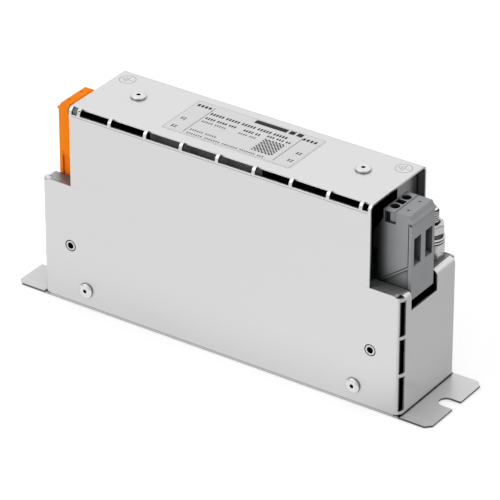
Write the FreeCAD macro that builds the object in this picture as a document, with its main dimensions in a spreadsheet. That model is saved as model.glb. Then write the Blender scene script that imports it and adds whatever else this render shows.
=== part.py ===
import FreeCAD, Part
import math
import os
import Sketcher

# Line filter in a slim folded case: origin at the middle of the underside, X along the length,
# Y towards the back, Z up. The load end is at +X and the line end at -X.

# Driving sizes in millimetres
SIZES = {
    # folded case
    "body_length": 200.0,
    "body_depth": 46.4,
    "body_height": 105.0,
    "shoulder_height": 63.2,
    "upper_inset": 17.2,
    "sheet_gauge": 1.0,
    "cover_bend": 3.0,
    "bend_radius": 2.0,
    "seam_gap": 0.3,
    "end_panel_lift": 1.5,
    # perforated bend lines
    "bridge_spacing": 20.0,
    "bridge_width": 1.7,
    "top_slot_drop": 3.4,
    "top_slot_depth": 2.4,
    "last_bridge_inset": 5.4,
    "end_strip": 1.5,
    "side_bridge_spacing": 19.7,
    "side_slot_inset": 1.4,
    "side_slot_depth": 4.1,
    "first_bridge_height": 2.4,
    "corner_relief_top": 0.8,
    "corner_relief_play": 0.4,
    "corner_bevel": 1.4,
    # base plate and flanges
    "flange_reach": 16.0,
    "flange_corner": 2.8,
    "fixing_slot_width": 7.5,
    "fixing_slot_depth": 9.1,
    "lip_height": 16.0,
    "lip_inset": 8.0,
    "lip_relief": 3.0,
    # terminal notch in each end
    "notch_width": 21.8,
    "notch_place": -4.1,
    "notch_floor": 53.1,
    # inner end brackets
    "wall_recess": 4.0,
    "bracket_front": -3.4,
    "bracket_side_gap": 0.4,
    "wall_side": 5.2,
    "opening_drop": 3.6,
    "top_tab_length": 24.0,
    "foot_tab_length": 18.0,
    # blind rivets
    "rivet_head": 7.4,
    "rivet_rise": 1.4,
    "rivet_bevel": 0.8,
    "rivet_bevel_drop": 0.35,
    "rivet_shank": 4.0,
    "rivet_bore": 2.0,
    "rivet_tail": 5.6,
    "rivet_tail_length": 2.8,
    "side_rivet_inset": 25.0,
    "side_rivet_height": 9.5,
    "top_rivet_inset": 20.9,
    "top_rivet_depth": 3.1,
    # threaded standoffs
    "standoff_inset": 16.3,
    "standoff_height": 31.0,
    "standoff_hole": 6.0,
    "standoff_neck": 5.0,
    "standoff_bore": 3.3,
    "standoff_collar": 8.0,
    "standoff_collar_length": 1.5,
    "standoff_body": 6.0,
    "standoff_length": 9.0,
    # earth connections
    "earth_inset": 9.65,
    "earth_back_inset": 6.0,
    "stud_size": 6.0,
    "stud_core": 5.35,
    "stud_free_gap": 0.25,
    "stud_clearance": 6.4,
    "stud_length": 26.9,
    "stud_tip": 0.8,
    "stud_head": 9.0,
    "stud_head_height": 2.0,
    "hex_width": 10.0,
    "collar_height": 7.9,
    "lower_washer_diameter": 11.4,
    "lower_washer_height": 1.6,
    "washer_space": 0.25,
    "upper_washer_diameter": 11.8,
    "upper_washer_height": 1.3,
    "lock_washer_diameter": 10.4,
    "lock_washer_height": 1.6,
    "lock_washer_split": 1.0,
    "nut_height": 5.0,
    "nut_bevel": 0.6,
    "nut_bevel_width": 1.0,
    # terminal blocks, measured from the front face and from the underside
    "terminal_width": 19.0,
    "terminal_pitch": 9.5,
    "terminal_depth_place": -4.8,
    "load_terminal_inset": 0.9,
    "line_terminal_inset": 2.2,
    "load_front_trim": 0.0,
    "line_front_trim": 2.4,
    "terminal_height": 42.7,
    "terminal_top_back": 15.1,
    "terminal_shaft_foot": 38.0,
    "terminal_belly": 20.6,
    "terminal_belly_top": 29.8,
    "terminal_belly_foot": 21.2,
    "terminal_heel": 18.0,
    "terminal_heel_foot": 4.0,
    "terminal_sole": 14.0,
    "lip_depth": 0.8,
    "lip_bottom": 39.0,
    "lip_rise": 0.5,
    "lip_hollow": 0.6,
    "lip_hollow_height": 40.9,
    "brow_setback": 1.5,
    "foot_recess_depth": 0.9,
    "foot_band_width": 1.5,
    "foot_seam_front": 1.7,
    "foot_seam_high": 17.3,
    "foot_seam_back": 15.3,
    "foot_seam_low": 7.3,
    "seam_width": 0.35,
    "seam_depth": 0.45,
    "screw_setback": 12.1,
    "screw_shaft": 4.5,
    "barrel_wall": 0.7,
    "key_recess": 4.4,
    "key_recess_across": 3.4,
    "key_recess_depth": 4.0,
    "top_groove_setback": 8.7,
    "probe_setback": 5.2,
    "probe_hole": 1.1,
    "probe_depth": 3.0,
    "wire_width": 5.7,
    "wire_bottom": 18.4,
    "wire_top": 30.9,
    "funnel_depth": 5.0,
    "funnel_drop": 1.5,
    "window_front": 8.6,
    "window_back": 14.4,
    "window_foot": 36.4,
    "window_head": 42.0,
    "window_depth": 2.0,
    "hook_hole": 1.2,
    "hook_setback": 0.8,
    "hook_height": 38.2,
    # clamp cages, screws and contact bars
    "cage_room": 0.25,
    "cage_front": 6.6,
    "cage_length": 10.0,
    "cage_width": 7.9,
    "cage_wall": 1.0,
    "cage_foot": 16.6,
    "cage_height": 16.0,
    "clamp_head": 4.2,
    "clamp_head_top": 37.0,
    "clamp_head_height": 2.4,
    "clamp_shank": 3.0,
    "clamp_tip": 29.4,
    "clamp_slot_width": 0.8,
    "clamp_slot_depth": 1.2,
    "contact_width": 4.0,
    "contact_gauge": 1.2,
    "contact_room": 0.15,
    "pin_below_board": 1.8,
    # circuit board and its pillars
    "board_gauge": 1.6,
    "board_top": 57.5,
    "board_end_gap": 7.0,
    "board_side_gap": 0.6,
    "pillar_width": 5.5,
    "pillar_inset": 34.0,
    "pillar_depth": 16.0,
    "pillar_spigot": 4.2,
    "pillar_bore": 3.0,
    "pillar_bore_depth": 9.0,
    "board_screw_head": 5.6,
    "board_screw_head_height": 2.2,
    "board_screw_length": 8.0,
    "board_screw_play": 0.2,
    # chokes
    "core_outer": 35.0,
    "core_inner": 20.0,
    "core_height": 14.0,
    "winding_build": 2.6,
    "winding_turn": 128.0,
    "divider_gauge": 1.6,
    "choke_play": 0.2,
    "choke_seat": 2.0,
    "seat_diameter": 38.0,
    "lead_width": 1.8,
    "lead_place": 8.0,
    "lead_side": 12.0,
    # capacitors and resistor
    "x_capacitor_length": 26.5,
    "x_capacitor_depth": 17.0,
    "x_capacitor_height": 28.0,
    "x_capacitor_place": 44.0,
    "y_capacitor_diameter": 12.0,
    "y_capacitor_gauge": 5.0,
    "y_capacitor_place": 48.0,
    "resistor_width": 5.0,
    "resistor_length": 15.0,
    "resistor_place": 34.0,
    "part_lead_width": 0.8,
    "part_lead_length": 3.0,
}

doc = FreeCAD.newDocument("LineFilter")
sheet = doc.addObject("Spreadsheet::Sheet", "Sizes")
for row, (alias, value) in enumerate(SIZES.items(), start=1):
    sheet.set("B%d" % row, str(value))
    sheet.setAlias("B%d" % row, alias)
doc.recompute()

# Places that several pieces share, as expressions on the sheet
GAUGE = "Sizes.sheet_gauge"
HALF_LENGTH = "Sizes.body_length / 2"
HALF_DEPTH = "Sizes.body_depth / 2"
HEIGHT = "Sizes.body_height"
SHOULDER = "Sizes.shoulder_height"
INNER_RADIUS = f"Sizes.bend_radius - {GAUGE}"
UPPER_HALF = f"{HALF_LENGTH} - Sizes.upper_inset"
WALL_FACE = f"{UPPER_HALF} - Sizes.wall_recess"
FLANGE_END = f"{HALF_LENGTH} + Sizes.flange_reach"
COVER_INNER_RADIUS = f"Sizes.cover_bend - {GAUGE}"
SIDE_RIVET_PLACE = f"({HALF_LENGTH} - Sizes.side_rivet_inset)"
TOP_RIVET_PLACE = f"({UPPER_HALF} - Sizes.top_rivet_inset)"
EARTH_PLACE = f"{HALF_LENGTH} - Sizes.earth_inset"
EARTH_DEPTH = f"{HALF_DEPTH} - Sizes.earth_back_inset"
PILLAR_PLACE = f"({HALF_LENGTH} - Sizes.pillar_inset)"
STANDOFF_PLACE = f"{HALF_LENGTH} - Sizes.standoff_inset"
BOARD_FOOT = "Sizes.board_top - Sizes.board_gauge"
ENDS = (1, -1)

X_AXIS = FreeCAD.Vector(1, 0, 0)
Y_AXIS = FreeCAD.Vector(0, 1, 0)
Z_AXIS = FreeCAD.Vector(0, 0, 1)


def bind(drawing, kind, element, point, expression):
    """Fix one coordinate of a sketch point, from the origin, to an expression."""
    number = drawing.addConstraint(Sketcher.Constraint(kind, -1, 1, element, point, 1.0))
    drawing.setExpression("Constraints[%d]" % number, expression)


def draw_polygon(drawing, corners):
    """Closed outline whose corners are (across, up) expressions."""
    first = drawing.GeometryCount
    count = len(corners)
    rough = [FreeCAD.Vector(math.cos(2 * math.pi * step / count), math.sin(2 * math.pi * step / count), 0)
             for step in range(count)]
    for step in range(count):
        drawing.addGeometry(Part.LineSegment(rough[step], rough[(step + 1) % count]))
    for step in range(count):
        following = first + (step + 1) % count
        drawing.addConstraint(Sketcher.Constraint("Coincident", first + step, 2, following, 1))
    for step, (across, up) in enumerate(corners):
        bind(drawing, "DistanceX", first + step, 1, across)
        bind(drawing, "DistanceY", first + step, 1, up)


def draw_circle(drawing, across, up, diameter):
    """Circle whose centre and diameter are expressions."""
    element = drawing.addGeometry(Part.Circle(FreeCAD.Vector(0, 0, 0), Z_AXIS, 1))
    bind(drawing, "DistanceX", element, 3, across)
    bind(drawing, "DistanceY", element, 3, up)
    number = drawing.addConstraint(Sketcher.Constraint("Diameter", element, 2.0))
    drawing.setExpression("Constraints[%d]" % number, diameter)


def rectangle(left, right, bottom, top):
    """Four corners of a rectangle."""
    return [(left, bottom), (right, bottom), (right, top), (left, top)]


def square(across, up, width):
    """Four corners of a square about a point."""
    half = f"{width} / 2"
    return rectangle(f"{across} - {half}", f"{across} + {half}", f"{up} - {half}", f"{up} + {half}")


def both_ends(shapes):
    """The shapes of one end and their mirror images at the other end."""
    mirrored = []
    for shape in shapes:
        if isinstance(shape, tuple):
            mirrored.append((f"-({shape[0]})",) + shape[1:])
        else:
            mirrored.append([(f"-({across})", up) for across, up in shape])
    return list(shapes) + mirrored


def body(label):
    """New body, named after its piece."""
    item = doc.addObject("PartDesign::Body", label)
    item.Label = label
    return item


def sketch(item, name, role, level, shapes):
    """Sketch parallel to an origin plane, at a level along the world axis that crosses it."""
    drawing = item.newObject("Sketcher::SketchObject", name)
    planes = [feature for feature in item.Origin.OriginFeatures if feature.Role == role]
    drawing.AttachmentSupport = [(planes[0], "")]
    drawing.MapMode = "FlatFace"
    sign = "-" if role == "XZ_Plane" else ""
    drawing.setExpression("AttachmentOffset.Base.z", f"{sign}({level})")
    for shape in shapes:
        if isinstance(shape, tuple):
            draw_circle(drawing, *shape)
        else:
            draw_polygon(drawing, shape)
    drawing.Visibility = False
    return drawing


def pad(item, name, role, level, length, shapes):
    """Material from the level on, along the positive world axis."""
    feature = item.newObject("PartDesign::Pad", name)
    feature.Profile = sketch(item, name + "Outline", role, level, shapes)
    feature.Reversed = role == "XZ_Plane"
    feature.setExpression("Length", length)
    doc.recompute()
    return feature


def pocket(item, name, role, level, length, shapes):
    """Cut from the level on, along the positive world axis."""
    before = item.Shape.Volume
    feature = item.newObject("PartDesign::Pocket", name)
    feature.Profile = sketch(item, name + "Outline", role, level, shapes)
    feature.Reversed = role != "XZ_Plane"
    feature.setExpression("Length", length)
    doc.recompute()
    if item.Shape.Volume >= before:
        raise ValueError(name + " cuts nothing")
    return feature


def repeat(item, name, feature, role, pitch, count):
    """Copies of a feature in a row along an origin axis."""
    pattern = item.newObject("PartDesign::LinearPattern", name)
    axes = [line for line in item.Origin.OriginFeatures if line.Role == role]
    pattern.Originals = [feature]
    pattern.Direction = (axes[0], [""])
    pattern.setExpression("Length", f"{pitch} * {count - 1}")
    pattern.Occurrences = count
    item.Tip = pattern
    doc.recompute()
    return pattern


def dress(item, kind, name, size, radius, choose):
    """Fillet or chamfer on the edges that a test picks from the latest feature."""
    base = item.Tip
    edges = ["Edge%d" % (number + 1) for number, edge in enumerate(base.Shape.Edges) if choose(edge)]
    if not edges:
        raise ValueError(name + " finds no edge")
    feature = item.newObject("PartDesign::" + kind, name)
    feature.Base = (base, edges)
    feature.setExpression(size, radius)
    doc.recompute()
    return feature


def turned(label, corners):
    """Body of revolution about its own Z axis from a (radius, height) outline."""
    item = body(label)
    feature = item.newObject("PartDesign::Revolution", label + "Turn")
    outline = sketch(item, label + "Outline", "XZ_Plane", "0", [corners])
    feature.Profile = outline
    feature.ReferenceAxis = (outline, ["V_Axis"])
    feature.Angle = 360
    doc.recompute()
    return item


def along(edge, axis):
    """True for a straight edge parallel to the axis."""
    if edge.Curve.TypeId != "Part::GeomLine":
        return False
    return abs(abs(edge.tangentAt(edge.FirstParameter).dot(axis)) - 1) < 1e-6


def near(first, second):
    """True for two equal places."""
    return abs(first - second) < 1e-4


def place(item, across, depth, height, axis=Z_AXIS, angle=0):
    """Turn a piece about an axis and put its origin at three expressions."""
    item.Placement = FreeCAD.Placement(FreeCAD.Vector(0, 0, 0), FreeCAD.Rotation(axis, angle))
    item.setExpression("Placement.Base.x", across)
    item.setExpression("Placement.Base.y", depth)
    item.setExpression("Placement.Base.z", height)
    return item


def block(name, length, depth, height, across, deep, foot):
    """Part box whose sizes and near corner are expressions."""
    item = doc.addObject("Part::Box", name)
    item.setExpression("Length", length)
    item.setExpression("Width", depth)
    item.setExpression("Height", height)
    return place(item, across, deep, foot)


def pin(name, width, height, across, deep, foot):
    """Part box of square section on a vertical axis."""
    return block(name, width, width, height, f"{across} - {width} / 2", f"{deep} - {width} / 2", foot)


def rod(name, diameter, height, across, deep, foot, axis=Z_AXIS, angle=0):
    """Part cylinder whose sizes and foot are expressions."""
    item = doc.addObject("Part::Cylinder", name)
    item.setExpression("Radius", f"({diameter}) / 2")
    item.setExpression("Height", height)
    return place(item, across, deep, foot, axis, angle)


def hexagon(name, width, height, across, deep, foot):
    """Part prism of six sides, given by its width across the flats."""
    item = doc.addObject("Part::Prism", name)
    item.Polygon = 6
    item.setExpression("Circumradius", f"({width}) / sqrt(3)")
    item.setExpression("Height", height)
    return place(item, across, deep, foot)


def without(name, base, tools):
    """The base less each of the tools."""
    cutter = tools[0]
    if len(tools) > 1:
        cutter = joined(name + "Cutter", tools)
    item = doc.addObject("Part::Cut", name)
    item.Base = base
    item.Tool = cutter
    return item


def joined(name, pieces):
    """One solid from several that meet."""
    item = doc.addObject("Part::MultiFuse", name)
    item.Shapes = pieces
    item.Refine = True
    return item


def group(label, pieces):
    """Like pieces in one node, each its own solid."""
    item = doc.addObject("Part::Compound", label)
    item.Label = label
    item.Links = pieces
    return item


# Folded cover

def cover():
    """Front, top, back, end panels and ledges of one sheet."""
    item = body("cover")
    front = f"-({HALF_DEPTH})"
    inner = f"{HALF_DEPTH} - {GAUGE}"
    ceiling = f"{HEIGHT} - {GAUGE}"
    pad(item, "CoverWalls", "YZ_Plane", f"-({HALF_LENGTH})", "Sizes.body_length", [[
        (front, "0"), (f"-({inner})", "0"), (f"-({inner})", ceiling), (inner, ceiling),
        (inner, "0"), (HALF_DEPTH, "0"), (HALF_DEPTH, HEIGHT), (front, HEIGHT)]])
    top = SIZES["body_height"]
    roof = top - SIZES["sheet_gauge"]
    dress(item, "Fillet", "CoverRoofBends", "Radius", "Sizes.cover_bend",
          lambda edge: along(edge, X_AXIS) and near(edge.CenterOfMass.z, top))
    dress(item, "Fillet", "CoverRoofInnerBends", "Radius", COVER_INNER_RADIUS,
          lambda edge: along(edge, X_AXIS) and near(edge.CenterOfMass.z, roof))
    pocket(item, "CoverShoulders", "XZ_Plane", front, "Sizes.body_depth",
           both_ends([rectangle(UPPER_HALF, HALF_LENGTH, SHOULDER, HEIGHT)]))
    pocket(item, "CoverBackTrim", "XZ_Plane", inner, GAUGE,
           both_ends([rectangle(f"{HALF_LENGTH} - {GAUGE} - Sizes.seam_gap", HALF_LENGTH, "0", SHOULDER)]))
    cover_ends(item, front)
    cover_slots(item, front)
    cover_holes(item, front, inner, ceiling)
    return item


def cover_ends(item, front):
    """End panels with their ledges, joined to the front along rounded vertical bends."""
    ledge_end = f"{WALL_FACE} + {INNER_RADIUS} + Sizes.seam_gap"
    ledge_foot = f"{SHOULDER} - {GAUGE}"
    panel_face = f"{HALF_LENGTH} - {GAUGE}"
    bend_start = f"{HALF_LENGTH} - Sizes.cover_bend - Sizes.seam_gap"
    relief_foot = f"{SHOULDER} - Sizes.corner_relief_top"
    pad(item, "CoverEnds", "XZ_Plane", front, f"Sizes.body_depth - {GAUGE} - Sizes.seam_gap", both_ends([[
        (panel_face, "Sizes.end_panel_lift"), (HALF_LENGTH, "Sizes.end_panel_lift"),
        (HALF_LENGTH, SHOULDER), (ledge_end, SHOULDER), (ledge_end, ledge_foot),
        (panel_face, ledge_foot)]]))
    bevel_start = f"{bend_start} - Sizes.corner_bevel"
    relief_depth = "Sizes.cover_bend + Sizes.corner_relief_play"
    pocket(item, "CoverCornerReliefs", "XZ_Plane", front, relief_depth, both_ends([
        [(bevel_start, SHOULDER), (HALF_LENGTH, SHOULDER), (HALF_LENGTH, relief_foot),
         (bend_start, relief_foot)],
        rectangle(bend_start, HALF_LENGTH, "0", "Sizes.end_panel_lift")]))
    behind = f"{front} + {GAUGE}"
    relief_back = f"{front} + {relief_depth}"
    pocket(item, "CoverLedgeSeams", "XY_Plane", ledge_foot, GAUGE, both_ends([[
        (ledge_end, behind), (panel_face, behind), (panel_face, relief_back), (bend_start, relief_back),
        (bend_start, f"{behind} + Sizes.seam_gap"), (ledge_end, f"{behind} + Sizes.seam_gap")]]))
    slit_foot = f"{SHOULDER} - Sizes.cover_bend - Sizes.seam_gap / 3"
    pocket(item, "CoverBendSlits", "XY_Plane", slit_foot, f"{SHOULDER} - ({slit_foot})", both_ends([
        rectangle(bend_start, HALF_LENGTH, f"{front} + Sizes.cover_bend + Sizes.seam_gap / 3",
                  relief_back)]))
    end = SIZES["body_length"] / 2
    gauge = SIZES["sheet_gauge"]
    face = SIZES["body_depth"] / 2
    shoulder = SIZES["shoulder_height"]

    def upright(edge, inset):
        centre = edge.CenterOfMass
        return (along(edge, Z_AXIS) and near(abs(centre.x), end - inset) and near(centre.y, inset - face))

    def crosswise(edge, inset):
        centre = edge.CenterOfMass
        return (along(edge, Y_AXIS) and near(abs(centre.x), end - inset)
                and near(centre.z, shoulder - inset))

    dress(item, "Fillet", "CoverEndBends", "Radius", "Sizes.cover_bend",
          lambda edge: upright(edge, 0) or crosswise(edge, 0))
    dress(item, "Fillet", "CoverEndInnerBends", "Radius", COVER_INNER_RADIUS,
          lambda edge: upright(edge, gauge) or crosswise(edge, gauge))


def cover_slots(item, front):
    """Slots that leave curved bridges along the top and the two upright bend lines."""
    slot_foot = f"{HEIGHT} - Sizes.top_slot_drop"
    half_bridge = "Sizes.bridge_width / 2"
    spacing = "Sizes.bridge_spacing"
    last_bridge = f"{UPPER_HALF} - Sizes.last_bridge_inset"
    upper_half = SIZES["body_length"] / 2 - SIZES["upper_inset"]
    last_place = upper_half - SIZES["last_bridge_inset"]
    last_step = math.floor(last_place / SIZES["bridge_spacing"] - 0.5)
    row_start = f"-{last_step} * {spacing}"
    top_slot = pocket(item, "CoverTopSlot", "XZ_Plane", front, "Sizes.top_slot_depth", [rectangle(
        f"{row_start} + {half_bridge}", f"{row_start} + {spacing} - {half_bridge}", slot_foot, HEIGHT)])
    repeat(item, "CoverTopSlots", top_slot, "X_Axis", spacing, 2 * last_step)
    pocket(item, "CoverTopEndSlots", "XZ_Plane", front, "Sizes.top_slot_depth", both_ends([
        rectangle(f"{last_step} * {spacing} + {half_bridge}", f"{last_bridge} - {half_bridge}",
                  slot_foot, HEIGHT),
        rectangle(f"{last_bridge} + {half_bridge}", f"{UPPER_HALF} - Sizes.end_strip",
                  slot_foot, HEIGHT)]))
    rise = SIZES["shoulder_height"] - SIZES["corner_relief_top"] - SIZES["first_bridge_height"]
    side_count = math.floor(rise / SIZES["side_bridge_spacing"] + 0.06)
    side_slot = pocket(item, "CoverSideSlot", "XZ_Plane", front, "Sizes.side_slot_depth", both_ends([
        rectangle(f"{HALF_LENGTH} - Sizes.side_slot_inset", HALF_LENGTH,
                  f"Sizes.first_bridge_height + {half_bridge}",
                  f"Sizes.first_bridge_height + Sizes.side_bridge_spacing - {half_bridge}")]))
    repeat(item, "CoverSideSlots", side_slot, "Z_Axis", "Sizes.side_bridge_spacing", side_count)


def cover_holes(item, front, inner, ceiling):
    """Terminal notches and the holes for rivets, standoffs and earth studs."""
    pocket(item, "CoverNotches", "YZ_Plane", f"-({HALF_LENGTH})", "Sizes.body_length", [rectangle(
        "Sizes.notch_place - Sizes.notch_width / 2", "Sizes.notch_place + Sizes.notch_width / 2",
        "Sizes.notch_floor", SHOULDER)])
    side_rivets = both_ends([(SIDE_RIVET_PLACE, "Sizes.side_rivet_height", "Sizes.rivet_shank")])
    standoffs = both_ends([(STANDOFF_PLACE, "Sizes.standoff_height", "Sizes.standoff_hole")])
    pocket(item, "CoverFrontHoles", "XZ_Plane", front, GAUGE, side_rivets + standoffs)
    pocket(item, "CoverBackHoles", "XZ_Plane", inner, GAUGE, side_rivets)
    pocket(item, "CoverTopHoles", "XY_Plane", ceiling, GAUGE, both_ends([
        (TOP_RIVET_PLACE, "Sizes.top_rivet_depth", "Sizes.rivet_shank")]))
    pocket(item, "CoverEarthHoles", "XY_Plane", f"{SHOULDER} - {GAUGE}", GAUGE, both_ends([
        (EARTH_PLACE, EARTH_DEPTH, "Sizes.stud_clearance")]))


# Base plate with its flanges

def base_plate():
    """Floor, upturned lips behind the front and back panels, and two slotted flanges."""
    item = body("base_plate")
    lip_face = f"{HALF_DEPTH} - {GAUGE}"
    neck = f"{lip_face} - Sizes.lip_relief"
    lip_end = f"{HALF_LENGTH} - Sizes.lip_inset"
    quarters = [[
        (lip_end, lip_face), (lip_end, neck), (flange_start, neck), (flange_start, HALF_DEPTH),
        (f"{FLANGE_END} - Sizes.flange_corner", HALF_DEPTH),
        (FLANGE_END, f"{HALF_DEPTH} - Sizes.flange_corner")]
        for flange_start in (f"{HALF_LENGTH} - {GAUGE}", f"{HALF_LENGTH} - Sizes.cover_bend")]
    back_right, front = quarters
    back_left = [(f"-({across})", up) for across, up in reversed(back_right)]
    front_left = [(f"-({across})", f"-({up})") for across, up in front]
    front_right = [(across, f"-({up})") for across, up in reversed(front)]
    pad(item, "BasePlate", "XY_Plane", "0", GAUGE, [back_right + front_right + front_left + back_left])
    lip_inside = f"{lip_face} - {GAUGE}"
    pad(item, "BaseLips", "XY_Plane", "0", "Sizes.lip_height", [
        rectangle(f"-({lip_end})", lip_end, lip_inside, lip_face),
        rectangle(f"-({lip_end})", lip_end, f"-({lip_face})", f"-({lip_inside})")])
    gauge = SIZES["sheet_gauge"]
    face = SIZES["body_depth"] / 2 - gauge

    def lip_edge(edge, inset):
        centre = edge.CenterOfMass
        return along(edge, X_AXIS) and near(abs(centre.y), face - inset) and near(centre.z, inset)

    dress(item, "Fillet", "BaseLipBends", "Radius", "Sizes.bend_radius", lambda edge: lip_edge(edge, 0))
    dress(item, "Fillet", "BaseLipInnerBends", "Radius", INNER_RADIUS, lambda edge: lip_edge(edge, gauge))
    slot_centre = f"{FLANGE_END} - Sizes.fixing_slot_depth + Sizes.fixing_slot_width / 2"
    half_slot = "Sizes.fixing_slot_width / 2"
    pocket(item, "BaseSlotEnds", "XY_Plane", "0", GAUGE, both_ends([
        (slot_centre, "0", "Sizes.fixing_slot_width")]))
    pocket(item, "BaseSlots", "XY_Plane", "0", GAUGE, both_ends([
        rectangle(slot_centre, FLANGE_END, f"-{half_slot}", half_slot)]))
    rivets = both_ends([(SIDE_RIVET_PLACE, "Sizes.side_rivet_height", "Sizes.rivet_shank")])
    pocket(item, "BaseRivetHoles", "XZ_Plane", f"-({HALF_DEPTH})", "Sizes.body_depth", rivets)
    pillars = both_ends([(PILLAR_PLACE, "Sizes.pillar_depth", "Sizes.pillar_spigot"),
                         (PILLAR_PLACE, "-Sizes.pillar_depth", "Sizes.pillar_spigot")])
    pocket(item, "BasePillarHoles", "XY_Plane", "0", GAUGE, pillars)
    return item


# Inner end brackets

def end_bracket(label, end):
    """Folded strip: tab under the top, wall beside the terminal block, foot under the ledge."""
    item = body(label)
    ceiling = f"{HEIGHT} - {GAUGE}"
    under = f"{SHOULDER} - {GAUGE}"
    wall_back = f"{WALL_FACE} - {GAUGE}"
    tab_end = f"{WALL_FACE} - Sizes.top_tab_length"
    foot_end = f"{WALL_FACE} + Sizes.foot_tab_length"
    outline = [
        (tab_end, ceiling), (WALL_FACE, ceiling), (WALL_FACE, under), (foot_end, under),
        (foot_end, f"{under} - {GAUGE}"), (wall_back, f"{under} - {GAUGE}"),
        (wall_back, f"{ceiling} - {GAUGE}"), (tab_end, f"{ceiling} - {GAUGE}")]
    signed = [(f"{end} * ({across})", up) for across, up in outline]
    back = f"{HALF_DEPTH} - {GAUGE} - Sizes.bracket_side_gap"
    pad(item, label + "Strip", "XZ_Plane", "Sizes.bracket_front", f"{back} - Sizes.bracket_front", [signed])
    face = SIZES["body_length"] / 2 - SIZES["upper_inset"] - SIZES["wall_recess"]
    gauge = SIZES["sheet_gauge"]
    roof = SIZES["body_height"] - gauge
    ledge = SIZES["shoulder_height"] - gauge

    def corner(edge, across, up):
        centre = edge.CenterOfMass
        return along(edge, Y_AXIS) and near(abs(centre.x), across) and near(centre.z, up)

    dress(item, "Fillet", label + "Bends", "Radius", "Sizes.bend_radius",
          lambda edge: corner(edge, face, roof) or corner(edge, face - gauge, ledge - gauge))
    dress(item, "Fillet", label + "InnerBends", "Radius", INNER_RADIUS,
          lambda edge: corner(edge, face - gauge, roof - gauge) or corner(edge, face, ledge))
    pocket(item, label + "Opening", "YZ_Plane", f"-({HALF_LENGTH})", "Sizes.body_length", [rectangle(
        "Sizes.bracket_front", "Sizes.wall_side", f"{under} - {GAUGE}",
        f"{HEIGHT} - Sizes.opening_drop")])
    pocket(item, label + "BendRelief", "YZ_Plane", f"-({HALF_LENGTH})", "Sizes.body_length", [rectangle(
        f"{HALF_DEPTH} - Sizes.cover_bend - Sizes.seam_gap", back, f"{ceiling} - {GAUGE}", ceiling)])
    pocket(item, label + "RivetHole", "XY_Plane", f"{ceiling} - {GAUGE}", GAUGE, [
        (f"{end} * {TOP_RIVET_PLACE}", "Sizes.top_rivet_depth", "Sizes.rivet_shank")])
    pocket(item, label + "EarthHole", "XY_Plane", f"{under} - {GAUGE}", GAUGE, [
        (f"{end} * ({EARTH_PLACE})", EARTH_DEPTH, "Sizes.stud_clearance")])
    return item


# Fasteners of the case

def blind_rivet(name):
    """Domed head outside, bore for the pulled mandrel, set tail behind two sheets."""
    grip = f"2 * {GAUGE}"
    return turned(name, [
        ("Sizes.rivet_bore / 2", "Sizes.rivet_rise"),
        ("Sizes.rivet_head / 2 - Sizes.rivet_bevel", "Sizes.rivet_rise"),
        ("Sizes.rivet_head / 2 - Sizes.rivet_bevel / 4", "Sizes.rivet_rise - Sizes.rivet_bevel_drop"),
        ("Sizes.rivet_head / 2", "Sizes.rivet_rise - 2.5 * Sizes.rivet_bevel_drop"),
        ("Sizes.rivet_head / 2", "0"), ("Sizes.rivet_shank / 2", "0"),
        ("Sizes.rivet_shank / 2", f"-{grip}"), ("Sizes.rivet_tail / 2", f"-{grip}"),
        ("Sizes.rivet_tail / 2", f"-{grip} - Sizes.rivet_tail_length"),
        ("Sizes.rivet_bore / 2", f"-{grip} - Sizes.rivet_tail_length")])


def side_rivets(label, side, turn):
    """Two rivets through the front or the back panel and the lip behind it."""
    pieces = []
    for number, end in enumerate(ENDS):
        rivet = blind_rivet("%s_%d" % (label, number))
        pieces.append(place(rivet, f"{end} * {SIDE_RIVET_PLACE}", f"{side} * {HALF_DEPTH}",
                            "Sizes.side_rivet_height", X_AXIS, turn))
    return group(label, pieces)


def top_rivets():
    """Two rivets through the top and the bracket tabs."""
    pieces = []
    for number, end in enumerate(ENDS):
        rivet = blind_rivet("top_rivet_%d" % number)
        pieces.append(place(rivet, f"{end} * {TOP_RIVET_PLACE}", "Sizes.top_rivet_depth", HEIGHT))
    return group("top_rivets", pieces)


def threaded_standoffs():
    """Two tapped standoffs whose necks stand flush in the holes of the front panel."""
    collar_foot = f"-{GAUGE} - Sizes.standoff_collar_length"
    pieces = []
    for number, end in enumerate(ENDS):
        item = turned("standoff_%d" % number, [
            ("Sizes.standoff_bore / 2", "0"), ("Sizes.standoff_neck / 2", "0"),
            ("Sizes.standoff_neck / 2", f"-{GAUGE}"), ("Sizes.standoff_collar / 2", f"-{GAUGE}"),
            ("Sizes.standoff_collar / 2", collar_foot), ("Sizes.standoff_body / 2", collar_foot),
            ("Sizes.standoff_body / 2", "-Sizes.standoff_length"),
            ("Sizes.standoff_bore / 2", "-Sizes.standoff_length")])
        pieces.append(place(item, f"{end} * ({STANDOFF_PLACE})", f"-({HALF_DEPTH})",
                            "Sizes.standoff_height", X_AXIS, 90))
    return group("threaded_standoffs", pieces)


# Earth connections on the ledges, from the stud head under the foot tab up to the nut

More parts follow.
